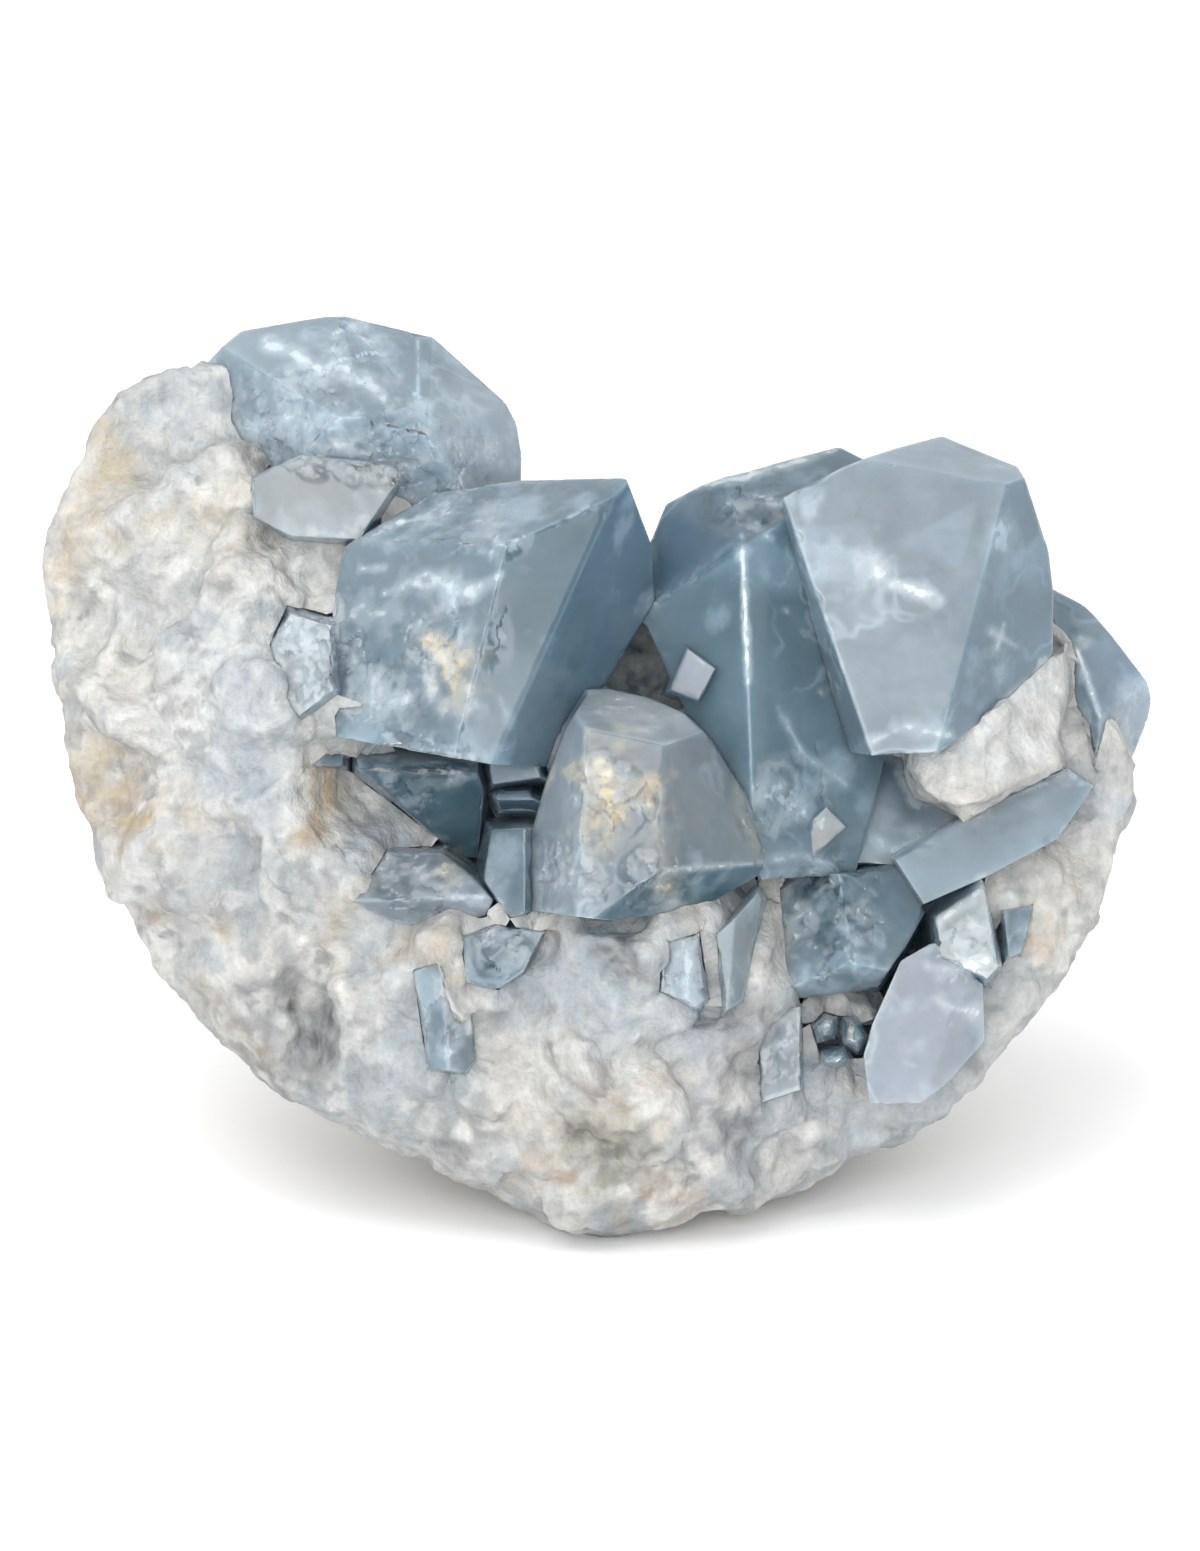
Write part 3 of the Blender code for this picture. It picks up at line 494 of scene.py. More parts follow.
ROCK_MARKS = (
    # Broad patches of the wall: warm towards the rim, grey in the hollows and cool at the foot on the right.
    # Painted shade darkens the gap below the middle crystal of the left side.
    ("mist", 0.6, 0.8, (150, 410, 30), (150, 465, 26)), ("cream", 0.6, 0.8, (90, 480, 34), (68, 570, 32)),
    ("white", 0.6, 0.8, (140, 525, 30), (185, 560, 30), (100, 640, 34)),
    ("mist", 0.5, 0.8, (170, 780, 40), (200, 860, 40)),
    ("grey", 0.7, 0.8, (275, 855, 34), (300, 880, 30)), ("mist", 0.6, 0.8, (170, 910, 30), (190, 965, 30)),
    ("mist", 0.7, 0.8, (320, 1100, 36), (470, 1160, 40), (600, 1160, 40)),
    ("white", 0.5, 0.8, (600, 1050, 36), (680, 1070, 40)),
    ("grey", 0.6, 0.8, (570, 950, 34), (600, 1005, 30)),
    ("frost", 0.7, 0.8, (800, 1100, 40), (905, 1085, 34)),
    ("white", 0.6, 0.8, (1050, 960, 34), (1080, 890, 30)),
    ("frost", 0.7, 0.7, (1100, 820, 26), (1120, 800, 20)),
    ("smoke", 0.8, 0.8, (455, 965, 26), (530, 950, 32)), ("grey", 0.8, 0.8, (410, 1000, 22), (440, 1070, 20)),
    ("grey", 0.7, 0.8, (340, 880, 22), (385, 940, 20)), ("grey", 0.7, 0.8, (600, 930, 26), (660, 940, 22)),
    ("lavender", 0.8, 0.8, (770, 1030, 26), (790, 1110, 24)),
    ("lavender", 0.8, 0.8, (695, 1000, 30), (715, 1080, 34)),
    ("frost", 0.8, 0.8, (650, 955, 24), (670, 1040, 26)), ("soot", 1.0, 0.4, (292, 996, 16), (306, 1044, 20)),
    ("smoke", 0.7, 0.7, (745, 1030, 12), (742, 1120, 14)),
    ("grey", 0.7, 0.8, (280, 1020, 24), (380, 1090, 26)),
    # The deep mark on the next line is painted shade in the gap between the middle crystal of the left side and
    # the tall crystal.
    ("haze", 0.7, 0.6, (350, 710, 26), (375, 735, 26)), ("deep", 1.0, 0.3, (618, 650, 44), (645, 695, 40)),
    # Bluish translucent ground and white bands on the left.
    ("frost", 0.7, 0.9, (200, 640, 36), (245, 700, 40), (262, 770, 26)),
    ("white", 0.9, 0.8, (326, 552, 20), (318, 600, 22), (336, 654, 16)),
    ("steel", 0.75, 0.9, (300, 690, 14), (336, 676, 14), (386, 722, 12)),
    ("haze", 0.6, 0.8, (268, 610, 8), (286, 690, 12)),
    ("white", 0.85, 0.6, (300, 652, 5), (340, 654, 7), (384, 692, 5)),
    ("white", 0.8, 0.6, (326, 710, 5), (402, 706, 5)),
    ("pearl", 0.6, 1.0, (130, 430, 24), (176, 420, 26)), ("ash", 0.6, 1.0, (140, 462, 12), (150, 440, 10)),
    ("soot", 0.95, 0.6, (246, 455, 8), (274, 463, 8)), ("soot", 0.9, 0.6, (250, 541, 8), (300, 537, 5)),
    ("ash", 0.7, 0.9, (194, 585, 9), (206, 588, 8)), ("ash", 0.5, 1.1, (110, 560, 10), (150, 580, 12)),
    ("pearl", 0.6, 1.0, (214, 782, 7), (262, 792, 7)),
    # Beige and brown stains.
    ("beige", 0.9, 0.9, (192, 508, 9), (226, 518, 14)), ("beige", 0.6, 1.0, (184, 508, 5), (112, 542, 6)),
    ("beige", 0.8, 0.9, (102, 430, 8), (108, 490, 12), (74, 540, 12), (60, 595, 8)),
    ("beige", 0.9, 0.9, (104, 790, 18), (132, 818, 18)), ("tan", 0.6, 1.3, (110, 800, 12), (136, 810, 12)),
    ("cream", 0.6, 1.0, (112, 660, 12), (132, 682, 12)), ("beige", 0.8, 0.9, (90, 744, 8), (100, 752, 8)),
    ("tan", 0.8, 0.8, (192, 812, 6), (200, 818, 6)), ("brown", 0.7, 0.8, (156, 912, 5), (166, 920, 5)),
    ("tan", 0.8, 0.8, (217, 924, 5), (220, 938, 4)),
    ("beige", 0.95, 0.8, (330, 780, 14), (322, 815, 15), (298, 842, 9)),
    ("tan", 0.7, 1.2, (322, 790, 8), (312, 832, 7)), ("brown", 0.7, 0.9, (308, 838, 4), (318, 832, 4)),
    ("beige", 0.85, 0.9, (340, 900, 12), (330, 932, 7)), ("beige", 0.7, 0.9, (378, 874, 7), (384, 880, 6)),
    ("tan", 0.95, 0.8, (382, 962, 7), (402, 955, 7)), ("beige", 0.9, 0.8, (434, 950, 11), (446, 966, 14)),
    ("brown", 0.5, 1.0, (562, 926, 8), (542, 936, 7)), ("beige", 0.9, 0.8, (656, 884, 10), (690, 896, 10)),
    ("cream", 0.8, 1.0, (512, 1112, 16), (552, 1132, 24), (540, 1162, 14)),
    ("brown", 0.75, 0.9, (598, 1090, 8), (616, 1108, 9)),
    ("rust", 0.75, 0.9, (652, 1192, 10), (682, 1196, 9)),
    ("rust", 0.6, 1.1, (530, 1172, 8), (572, 1180, 7)), ("cream", 0.9, 0.6, (652, 1078, 15), (662, 1084, 13)),
    ("rust", 0.9, 0.7, (1034, 944, 5), (1042, 956, 5)), ("cream", 0.6, 0.9, (1085, 850, 14), (1040, 920, 18)),
    ("beige", 0.5, 0.9, (848, 1088, 9), (856, 1096, 9)), ("brown", 0.6, 1.0, (205, 985, 6), (262, 1060, 7)),
    # Dark pits and cracks.
    ("soot", 1.0, 0.7, (284, 994, 11), (298, 1026, 17), (318, 1052, 15), (290, 1072, 13)),
    ("pit", 0.9, 0.8, (286, 996, 6), (296, 1012, 6)), ("pit", 0.9, 0.8, (312, 1000, 4), (326, 1022, 6)),
    ("ash", 0.8, 0.8, (254, 914, 7), (272, 952, 7)), ("ash", 0.7, 1.0, (240, 1000, 8), (262, 1018, 8)),
    ("pit", 0.95, 0.7, (598, 948, 5), (622, 958, 7), (650, 980, 8)),
    ("pit", 0.9, 0.7, (620, 940, 5), (628, 944, 5)),
    ("soot", 0.7, 0.8, (466, 1022, 4), (488, 1016, 5)), ("white", 0.8, 0.5, (470, 1004, 6), (482, 1006, 7)),
    ("smoke", 0.8, 0.8, (366, 1078, 9), (388, 1110, 9)), ("soot", 0.6, 1.0, (416, 1088, 5), (428, 1130, 5)),
    ("soot", 0.85, 0.8, (436, 1142, 5), (460, 1152, 7)), ("ash", 0.7, 0.9, (440, 1090, 8), (476, 1110, 8)),
    ("olive", 0.8, 1.0, (580, 1140, 18), (622, 1160, 22), (600, 1190, 14)),
    ("soot", 0.7, 1.0, (570, 1128, 6), (640, 1150, 6), (590, 1160, 6)),
    ("soot", 0.95, 0.5, (747, 1046, 5), (744, 1100, 8), (738, 1142, 9)),
    ("ash", 0.7, 0.8, (726, 1030, 8), (716, 1120, 10)),
    ("soot", 0.7, 0.9, (800, 1152, 5), (826, 1148, 6)), ("ash", 0.7, 0.9, (722, 1186, 8), (794, 1164, 8)),
    ("soot", 0.6, 1.0, (560, 1208, 4), (580, 1218, 4)), ("soot", 0.6, 0.9, (998, 1008, 4), (1006, 1014, 4)),
    # Grey and lavender ground between the crystals.
    ("lavender", 0.7, 0.9, (344, 852, 14), (330, 884, 12)), ("smoke", 0.6, 1.0, (286, 866, 6), (322, 880, 7)),
    ("lavender", 0.75, 0.7, (862, 1112, 16), (912, 1096, 14)),
    ("pearl", 0.7, 0.8, (800, 1094, 14), (850, 1118, 14)),
    ("frost", 0.6, 0.9, (560, 985, 20), (600, 1010, 18)),
    ("pearl", 0.5, 1.0, (560, 960, 10), (700, 1040, 12)),
    ("frost", 0.6, 0.9, (372, 940, 10), (400, 990, 16)),
    ("frost", 0.6, 1.0, (400, 1090, 12), (470, 1080, 14)),
    ("soot", 0.8, 0.8, (880, 995, 4), (900, 985, 4)),
    ("lavender", 0.6, 0.9, (1090, 800, 14), (1120, 800, 12)),
    # The creamy lump under the right crystals.
    ("milk", 0.9, 0.4, (930, 770, 26), (1000, 740, 34), (1050, 690, 26)),
    ("pearl", 0.7, 0.9, (940, 740, 10), (1010, 770, 10)), ("frost", 0.7, 0.9, (1000, 700, 8), (1050, 660, 8)),
    ("white", 0.8, 0.8, (930, 770, 8), (990, 760, 10), (1040, 700, 6)),
    ("cream", 0.5, 0.9, (930, 785, 8), (960, 795, 8)),
    ("cream", 0.8, 0.6, (846, 770, 8), (866, 776, 8)),
)

# Where a crystal's surface is broken rather than flat: across, down, reach in pixels, depth in millimetres.
BROKEN = (
    (300, 420, 70, 0.5), (360, 350, 60, 0.3), (400, 450, 60, 0.6), (470, 460, 40, 0.4),
    (310, 650, 55, 0.6), (440, 640, 60, 0.5), (380, 690, 50, 0.4), (470, 520, 60, 0.25), (610, 800, 45, 0.5),
    (570, 870, 45, 0.4), (650, 880, 35, 0.5), (420, 770, 60, 0.5), (420, 880, 50, 0.4), (500, 940, 40, 0.5),
    (790, 800, 50, 0.4), (820, 920, 70, 0.6), (830, 1035, 35, 0.4), (960, 950, 40, 0.4), (1080, 760, 40, 0.5),
    (700, 970, 40, 0.4), (440, 1020, 40, 0.4), (780, 1050, 35, 0.3), (750, 500, 40, 0.35),
)

# Where the rock stays back and no crust climbs up the crystals: across, down, reach in pixels.
BARE = ((1080, 690, 66), (1114, 755, 55), (445, 985, 48))


def blend_over(colour):
    """A function that blends a tone over the given colours, by a share for each."""
    def blend(tone, share):
        colour[:] += (linear(TONES[tone]) - colour) * np.clip(share, 0, 1)[:, None]

    return blend


def mark_strength(across, down, edge, places):
    """How fully a mark's core and its soft halo cover each point, from 0 to 1."""
    best = np.full(len(across), np.inf)
    places = np.array(places, float)
    for start, end in zip(places[:-1], places[1:]):
        run = end[:2] - start[:2]
        along = ((across - start[0]) * run[0] + (down - start[1]) * run[1]) / max(run @ run, 1e-9)
        along = np.clip(along, 0, 1)
        width = start[2] + (end[2] - start[2]) * along
        away = np.hypot(across - start[0] - run[0] * along, down - start[1] - run[1] * along)
        best = np.minimum(best, away / width)
    return smooth(1.9, 0.0, best + edge), smooth(3.4, 0.3, best + 1.6 * edge)


def painted(points, triangles, front, colour, marks, salt):
    """The colour after the marks, and how much of each corner the pale, dry ones cover."""
    across, down, _ = (part[triangles].reshape(-1) for part in front_view(points))
    ragged_edge = clouds(points, 1.6, 4, salt) + 0.6 * fibres(points, 1.4, salt + 17)
    ragged_edge = ragged_edge[triangles].reshape(-1)
    torn = smooth(-0.9, 0.7, clouds(points, 0.8, 3, salt + 7) + 0.6 * fibres(points, 1.2, salt + 11))
    torn = torn[triangles].reshape(-1)
    cover = np.zeros(len(across))
    for tone, strength, ragged, *places in marks:
        reach = np.array(places, float)
        widest = reach[:, 2].max() * 3.6 + 3
        inside = (across > reach[:, 0].min() - widest) & (across < reach[:, 0].max() + widest)
        inside &= (down > reach[:, 1].min() - widest) & (down < reach[:, 1].max() + widest) & (front > 0)
        chosen = np.nonzero(inside)[0]
        if not len(chosen):
            continue
        edge = ragged_edge[chosen] * (0.35 + ragged)
        core, halo = mark_strength(across[chosen], down[chosen], edge, places)
        core *= 1 - (1 - torn[chosen]) * min(1.0, 0.6 + 0.4 * ragged)
        share = strength * front[chosen] * np.maximum(core * 0.85, halo * 0.35)
        rgb = linear(TONES[tone])
        colour[chosen] += (rgb - colour[chosen]) * share[:, None]
        dry = max(float(smooth(0.3, 0.6, rgb.mean())), float(smooth(1.15, 1.4, rgb[0] / rgb[2])))
        cover[chosen] = cover[chosen] * (1 - share) + share * dry
    return colour, cover


# Materials. The tones are meant as seen, so they are divided by how brightly the studio lights them.
ROCK_LIT = 1.47
CRYSTAL_LIT = np.array((1.06, 1.0, 0.97))
CLEARNESS = 0.5


class Nodes:
    """A short way to add shader nodes and join them."""

    def __init__(self, name):
        self.material = bpy.data.materials.new(name)
        self.material.use_nodes = True
        self.tree = self.material.node_tree
        self.shader = self.tree.nodes["Principled BSDF"]
        self.output = self.tree.nodes["Material Output"]

    def add(self, kind, settings=(), **inputs):
        node = self.tree.nodes.new("ShaderNode" + kind)
        for name, value in dict(settings).items():
            setattr(node, name, value)
        for name, value in inputs.items():
            key = int(name[1:]) if name[1:].isdigit() else name.replace("_", " ")
            self.put(node.inputs[key], value)
        return node

    def put(self, socket, value):
        if isinstance(value, bpy.types.NodeSocket):
            self.tree.links.new(value, socket)
        else:
            socket.default_value = value

    def math(self, operation, *values):
        node = self.add("Math", {"operation": operation})
        for socket, value in zip(node.inputs, values):
            self.put(socket, value)
        return node.outputs[0]

    def attribute(self, name, output="Fac"):
        return self.add("Attribute", {"attribute_name": name}).outputs[output]

    def place(self):
        return self.add("TexCoord").outputs["Object"]

    def noise(self, scale, detail=3.0, rough=0.55, stretch=(1, 1, 1)):
        place = self.place()
        if stretch != (1, 1, 1):
            place = self.add("Mapping", {}, Vector=place, Scale=stretch).outputs[0]
        node = self.add("TexNoise", {}, Vector=place, Scale=scale, Detail=detail, Roughness=rough)
        return node.outputs["Fac"]

    def remap(self, value, low, high, to_low, to_high):
        node = self.add("MapRange", {"interpolation_type": "SMOOTHSTEP"}, Value=value)
        for name, number in (("From Min", low), ("From Max", high), ("To Min", to_low), ("To Max", to_high)):
            node.inputs[name].default_value = number
        return node.outputs[0]

    def mix(self, share, one, other):
        node = self.add("Mix", {"data_type": "RGBA"})
        for socket, value in zip((node.inputs[0], node.inputs[6], node.inputs[7]), (share, one, other)):
            self.put(socket, value)
        return node.outputs[2]

    def bump(self, height, distance, strength=1.0):
        node = self.add("Bump", {}, Height=height, Distance=distance, Strength=strength)
        self.put(self.shader.inputs["Normal"], node.outputs[0])

    def tinted(self, tint):
        """Gives the shader the tone at each corner, a little lighter or darker by tint."""
        tone = self.attribute("tone", "Color")
        node = self.add("VectorMath", {"operation": "SCALE"}, _0=tone, Scale=tint)
        self.put(self.shader.inputs["Base Color"], node.outputs[0])


def crystal_material():
    n = Nodes("celestite_crystal")
    fine = n.noise(900, 4)
    broad = n.noise(160, 3)
    dust = n.attribute("dust")
    tint = n.remap(fine, 0.3, 0.7, 0.97, 1.03)
    tint = n.math("MULTIPLY", tint, n.remap(broad, 0.3, 0.7, 0.96, 1.04))
    n.tinted(tint)
    clear = n.math("MULTIPLY", n.math("SUBTRACT", 1.0, dust), CLEARNESS)
    n.put(n.shader.inputs["Transmission Weight"], clear)
    rough = n.math("ADD", n.remap(broad, 0.35, 0.65, 0.1, 0.18), n.math("MULTIPLY", dust, 0.3))
    n.put(n.shader.inputs["Roughness"], rough)
    n.shader.inputs["IOR"].default_value = 1.62
    n.shader.inputs["Specular IOR Level"].default_value = 0.3
    n.shader.inputs["Subsurface Weight"].default_value = 1.0
    n.shader.inputs["Subsurface Scale"].default_value = 0.004
    n.shader.inputs["Subsurface Radius"].default_value = (0.7, 0.9, 1.0)
    grooves = n.noise(500, 3, stretch=(1, 1, 0.25))
    grit = n.math("MULTIPLY", fine, n.math("ADD", dust, 0.15))
    n.bump(n.math("ADD", grooves, grit), distance=0.00003, strength=0.2)
    volume = n.add("VolumeAbsorption", {}, Color=(0.32, 0.66, 0.82, 1), Density=14.0)
    n.tree.links.new(volume.outputs[0], n.output.inputs["Volume"])
    return n.material


def rock_material():
    n = Nodes("celestite_rock")
    fine = n.noise(1500, 5, 0.65)
    medium = n.noise(500, 4, 0.6)
    streaks = n.noise(800, 5, 0.7, stretch=(1, 1, 0.35))
    tint = n.remap(fine, 0.3, 0.7, 0.9, 1.06)
    tint = n.math("MULTIPLY", tint, n.remap(medium, 0.35, 0.65, 0.93, 1.05))
    tint = n.math("MULTIPLY", tint, n.remap(streaks, 0.35, 0.65, 0.92, 1.05))
    n.tinted(tint)
    n.put(n.shader.inputs["Roughness"], n.remap(fine, 0.3, 0.7, 0.45, 0.75))
    n.shader.inputs["IOR"].default_value = 1.55
    n.bump(n.math("ADD", n.math("MULTIPLY", medium, 2.0), fine), distance=0.0004, strength=0.6)
    return n.material


def floor_material():
    n = Nodes("pale_floor")
    speck = n.noise(30, 4)
    n.put(n.shader.inputs["Base Color"], n.mix(speck, (0.9, 0.9, 0.9, 1), (0.94, 0.94, 0.94, 1)))
    n.shader.inputs["Roughness"].default_value = 0.9
    return n.material


# Pieces.

SHARP = math.radians(38)

# Edge lengths: a first rough division, then one by how much of a place the front view shows.
FIRST_CRYSTAL, FIRST_ROCK = 2.0, 2.2
FINE, MEDIUM, COARSE = 0.27, 0.9, 2.5
ROCK_FINE, ROCK_COARSE = 0.48, 1.3
SOCKET_FINE, SOCKET_COARSE = 0.6, 1.5

CREASE = math.radians(9)  # the least bend between two faces that counts as an edge
CREASE_STEP = 0.12
WEAR_ROOM = 0.1  # how far an edge wears back at most, as a share of its length
JUST_OFF = 0.03  # where a look away from a surface starts
SOCKET_REACH = 0.7  # nearer to a crystal, the rock isn't smoothed and its relief is halved


def piece(name, points, triangles, material, node, tone, dust):
    """A mesh object with a colour at each corner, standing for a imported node."""
    mesh = bpy.data.meshes.new(name)
    mesh.vertices.add(len(points))
    mesh.vertices.foreach_set("co", (points * MM).astype(np.float32).ravel())
    mesh.loops.add(len(triangles) * 3)
    mesh.loops.foreach_set("vertex_index", triangles.astype(np.int32).ravel())
    mesh.polygons.add(len(triangles))
    mesh.polygons.foreach_set("loop_start", np.arange(0, len(triangles) * 3, 3, dtype=np.int32))
    mesh.update(calc_edges=True)
    mesh.validate()
    colours = mesh.attributes.new("tone", "FLOAT_COLOR", "CORNER")
    four = np.concatenate([tone, np.ones((len(tone), 1))], axis=1)
    colours.data.foreach_set("color", four.astype(np.float32).ravel())
    dusty = mesh.attributes.new("dust", "FLOAT", "CORNER")
    dusty.data.foreach_set("value", dust.astype(np.float32).ravel())
    mesh.shade_smooth()
    mesh.set_sharp_from_angle(angle=SHARP)
    mesh.materials.append(material)
    obj = bpy.data.objects.new(name, mesh)
    bpy.context.scene.collection.objects.link(obj)
    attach(obj, "root")
    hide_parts(node)


def seen_faces(solids, faces):
    """The tone of each solid's flat faces that FACE_TONES_WITH_SHADE names."""
    tree = tree_of(list(solids.values()))
    owner = [(name, face) for name in solids for face in faces[name]]
    eye = CENTRE + NEAR * DISTANCE - UP * VIEW_DROP
    tones = {name: {} for name in solids}
    for across, down, tone in FACE_TONES_WITH_SHADE:
        u = (across - PICTURE[0] / 2) / PIXELS_PER_MM
        v = (PICTURE[1] / 2 - down) / PIXELS_PER_MM
        aim = CENTRE - UP * VIEW_DROP + RIGHT * u + UP * v
        hit = tree.ray_cast(Vector(eye), Vector(aim - eye).normalized())
        if hit[0] is None:
            continue
        name, face = owner[hit[2]]
        tones[name][face] = tone
    return tones


def exposed(points, triangles, others):
    """1 for the points of triangles that stand clear of the other solids, else 0."""
    normal = unit(cross_of(points, triangles))
    middle = points[triangles].mean(axis=1) + normal * JUST_OFF
    clear = np.zeros(len(points))
    for triangle, place, way in zip(triangles, middle, normal):
        if others.ray_cast(Vector(place), Vector(way), 1.0)[0] is None:
            clear[triangle] = 1
    return clear


def chip_edges(points, creases, inward, room, salt):
    """Wears the convex edges down unevenly, the short ones least."""
    if not len(creases):
        return points
    tree = kdtree.KDTree(len(creases))
    for i, place in enumerate(creases):
        tree.insert(place, i)
    tree.balance()
    reach = 0.16 + 0.5 * np.clip(clouds(points, 1.6, 3, salt) - 0.25, 0, 1)
    moved = points.copy()
    for i, place in enumerate(points):
        found, number, away = tree.find(place)
        wear = min(reach[i], room[number]) - away
        if wear > 0:
            moved[i] += inward[number] * wear * 0.55
    return moved


def creases_of(points, triangles):
    """Places along the convex edges, with the way into the solid and the room for wear there."""
    normal = unit(cross_of(points, triangles))
    edges, sides = edges_of(triangles)
    owners = {}
    for triangle, three in enumerate(sides):
        for edge in three:
            owners.setdefault(edge, []).append(triangle)
    places, ways, room = [], [], []
    for edge, pair in owners.items():
        if len(pair) != 2 or normal[pair[0]] @ normal[pair[1]] > math.cos(CREASE):
            continue
        a, b = points[edges[edge]]
        third = points[triangles[pair[1]]].mean(axis=0)
        if (third - a) @ normal[pair[0]] > -1e-4:
            continue
        way = -(normal[pair[0]] + normal[pair[1]])
        length = np.linalg.norm(way)
        if length < 1e-6:
            continue
        long = np.linalg.norm(b - a)
        for t in np.linspace(0, 1, max(2, int(long / CREASE_STEP))):
            places.append(a + (b - a) * t)
            ways.append(way / length)
            room.append(WEAR_ROOM * long)
    return np.array(places), np.array(ways), np.array(room)


def meet(points, tree, near, far, depth):
    """Moves points that lie just outside a solid onto it, so that the two pieces meet without a gap."""
    points = points.copy()
    for i, place in enumerate(points):
        spot, way, _, away = tree.find_nearest(Vector(place), far)
        if spot is None or (Vector(place) - spot).dot(way) <= 0:
            continue
        share = 1.0 if away < near else float(smooth(far, near, away))
        points[i] += (np.array(spot) - np.array(way) * depth - place) * share
    return points


def distance_to(points, tree, far):
    """How far each point is from a solid, up to far."""
    found = (tree.find_nearest(Vector(p), far)[3] for p in points)
    return np.array([far if away is None else away for away in found])


def break_up(points, triangles, salt):
    """Breaks the crystals' faces into small steps where the photo shows them broken."""
    across, down, _ = front_view(points)
    normal = normals_of(points, triangles)
    wander = 0.35 * clouds(points, 4.0, 3, salt)
    depth = np.zeros(len(points))
    for place_across, place_down, reach, deep in BROKEN:
        away = np.hypot(across - place_across, down - place_down) / reach
        depth = np.maximum(depth, deep * smooth(1.1, 0.5, away + wander))
    steps = grains(bent(points, 3.0, 0.5, salt + 3), 2.6, salt + 5)[0]
    steps += 0.5 * grains(points, 1.3, salt + 15)[0]
    depth *= smooth(-0.2, 0.3, normal @ NEAR) * np.clip(0.6 + 0.7 * steps, 0, 1.4)
    return points - normal * depth[:, None]


def crystal_piece(name, solids, faces, places, rock, earlier, material, salt):
    points, triangles = solids[name]
    creases = creases_of(points, triangles)
    others = tree_of([rock] + [solids[other] for other in solids if other != name])
    points, triangles, face, _ = refine(points, triangles, faces[name], np.full(len(points), FIRST_CRYSTAL))
    clear = exposed(points, triangles, others)
    facing = normals_of(points, triangles) @ NEAR
    size = np.where(clear > 0, np.where(facing > -0.35, FINE, MEDIUM), COARSE)
    flat, triangles, face, _ = refine(points, triangles, face, size)
    points = break_up(chip_edges(flat, *creases, salt), triangles, salt + 70)
    chipped = np.linalg.norm(points - flat, axis=1)
    if earlier:
        points = meet(points, tree_of([solids[other] for other in earlier]), near=0.45, far=0.75, depth=0.04)
    colour, dust = crystal_colour(flat, triangles, face, places[name], chipped, tree_of([rock]), salt)
    print(name, len(triangles), "triangles")
    colour /= CRYSTAL_LIT
    piece("crystals_" + name, points, triangles, material, name, colour, dust)


def crystal_colour(points, triangles, face, places, chipped, rock, salt):
    """The tone at each corner, and how much pale dust or crust hides the clear crystal there."""
    face = np.repeat(face, 3)
    normal = unit(cross_of(points, triangles))
    front = smooth(-0.25, 0.1, np.repeat(normal @ NEAR, 3))

    def corners(values):
        return values[triangles].reshape(-1)

    patchy = corners(clouds(points, 7.0, 4, salt + 40))
    mixed = smooth(-0.6, 0.6, patchy)[:, None]
    colour = linear(TONES["slate"]) * (1 - mixed) + linear(TONES["pearl"]) * mixed
    for number, tone in places.items():
        colour[face == number] = linear(TONES[tone])
    colour *= (1 + 0.1 * patchy + 0.05 * corners(fibres(points, 2.0, salt + 45)))[:, None]

    blend = blend_over(colour)
    blend("slate", 0.3 * corners(smooth(0.0, 0.9, clouds(points, 10.0, 4, salt + 42))))
    blend("pearl", 0.3 * corners(smooth(0.0, 0.9, clouds(points, 10.0, 4, salt + 47))))
    veins = corners(wisps(points, 5.0, salt + 50) * smooth(0.0, 0.6, clouds(points, 9.0, 2, salt + 55)))
    blend("frost", 0.22 * veins)
    veils = corners(smooth(0.3, 0.95, clouds(points, 5.0, 5, salt + 60)))
    blend("frost", 0.3 * veils)
    colour, cover = painted(points, triangles, front, colour, CRYSTAL_MARKS, salt + 20)
    # Chipped edges are paled with milk: partly real wear, partly a painted edge highlight.
    wear_and_edge_highlight = 0.3 * corners(smooth(0.08, 0.25, chipped) * smooth(-0.3, 0.4, clouds(points, 1.5, 3, salt + 65)))
    blend("milk", wear_and_edge_highlight)
    root = distance_to(points, rock, 3.0) + 1.3 * clouds(points, 2.5, 4, salt + 75)
    root = 0.6 * corners(smooth(1.2, -0.2, root))
    blend("mist", root)
    return colour, np.clip(np.maximum.reduce([cover, wear_and_edge_highlight, root, 0.4 * veils, 0.3 * veins]), 0, 1)


def rock_mesh(rock, crystals):
    """The rock's solid, divided finely in front, and how far each point is from the crystals."""
    points, triangles = rock
    face = np.zeros(len(triangles), int)
    points, triangles, face, _ = refine(points, triangles, face, np.full(len(points), FIRST_ROCK))
    rooted = distance_to(points, crystals, 0.6) < 0.6
    facing = normals_of(points, triangles) @ NEAR
    size = np.where(facing > -0.2, ROCK_FINE, ROCK_COARSE)
    socket = np.where(facing > 0.0, SOCKET_FINE, SOCKET_COARSE)
    size = np.where(rooted & (facing < 0.9), socket, size)
    points, triangles, _, _ = refine(points, triangles, face, size)
    return points, triangles, distance_to(points, crystals, 3.0)


def evened(values, edges, rounds, share):
    """Values at the points, evened out with their neighbours'."""
    count = np.bincount(edges.ravel(), minlength=len(values))
    for _ in range(rounds):
        total = np.zeros_like(values)
        for a, b in ((0, 1), (1, 0)):
            np.add.at(total, edges[:, a], values[edges[:, b]])
        values = values * (1 - share) + share * (total.T / count).T
    return values


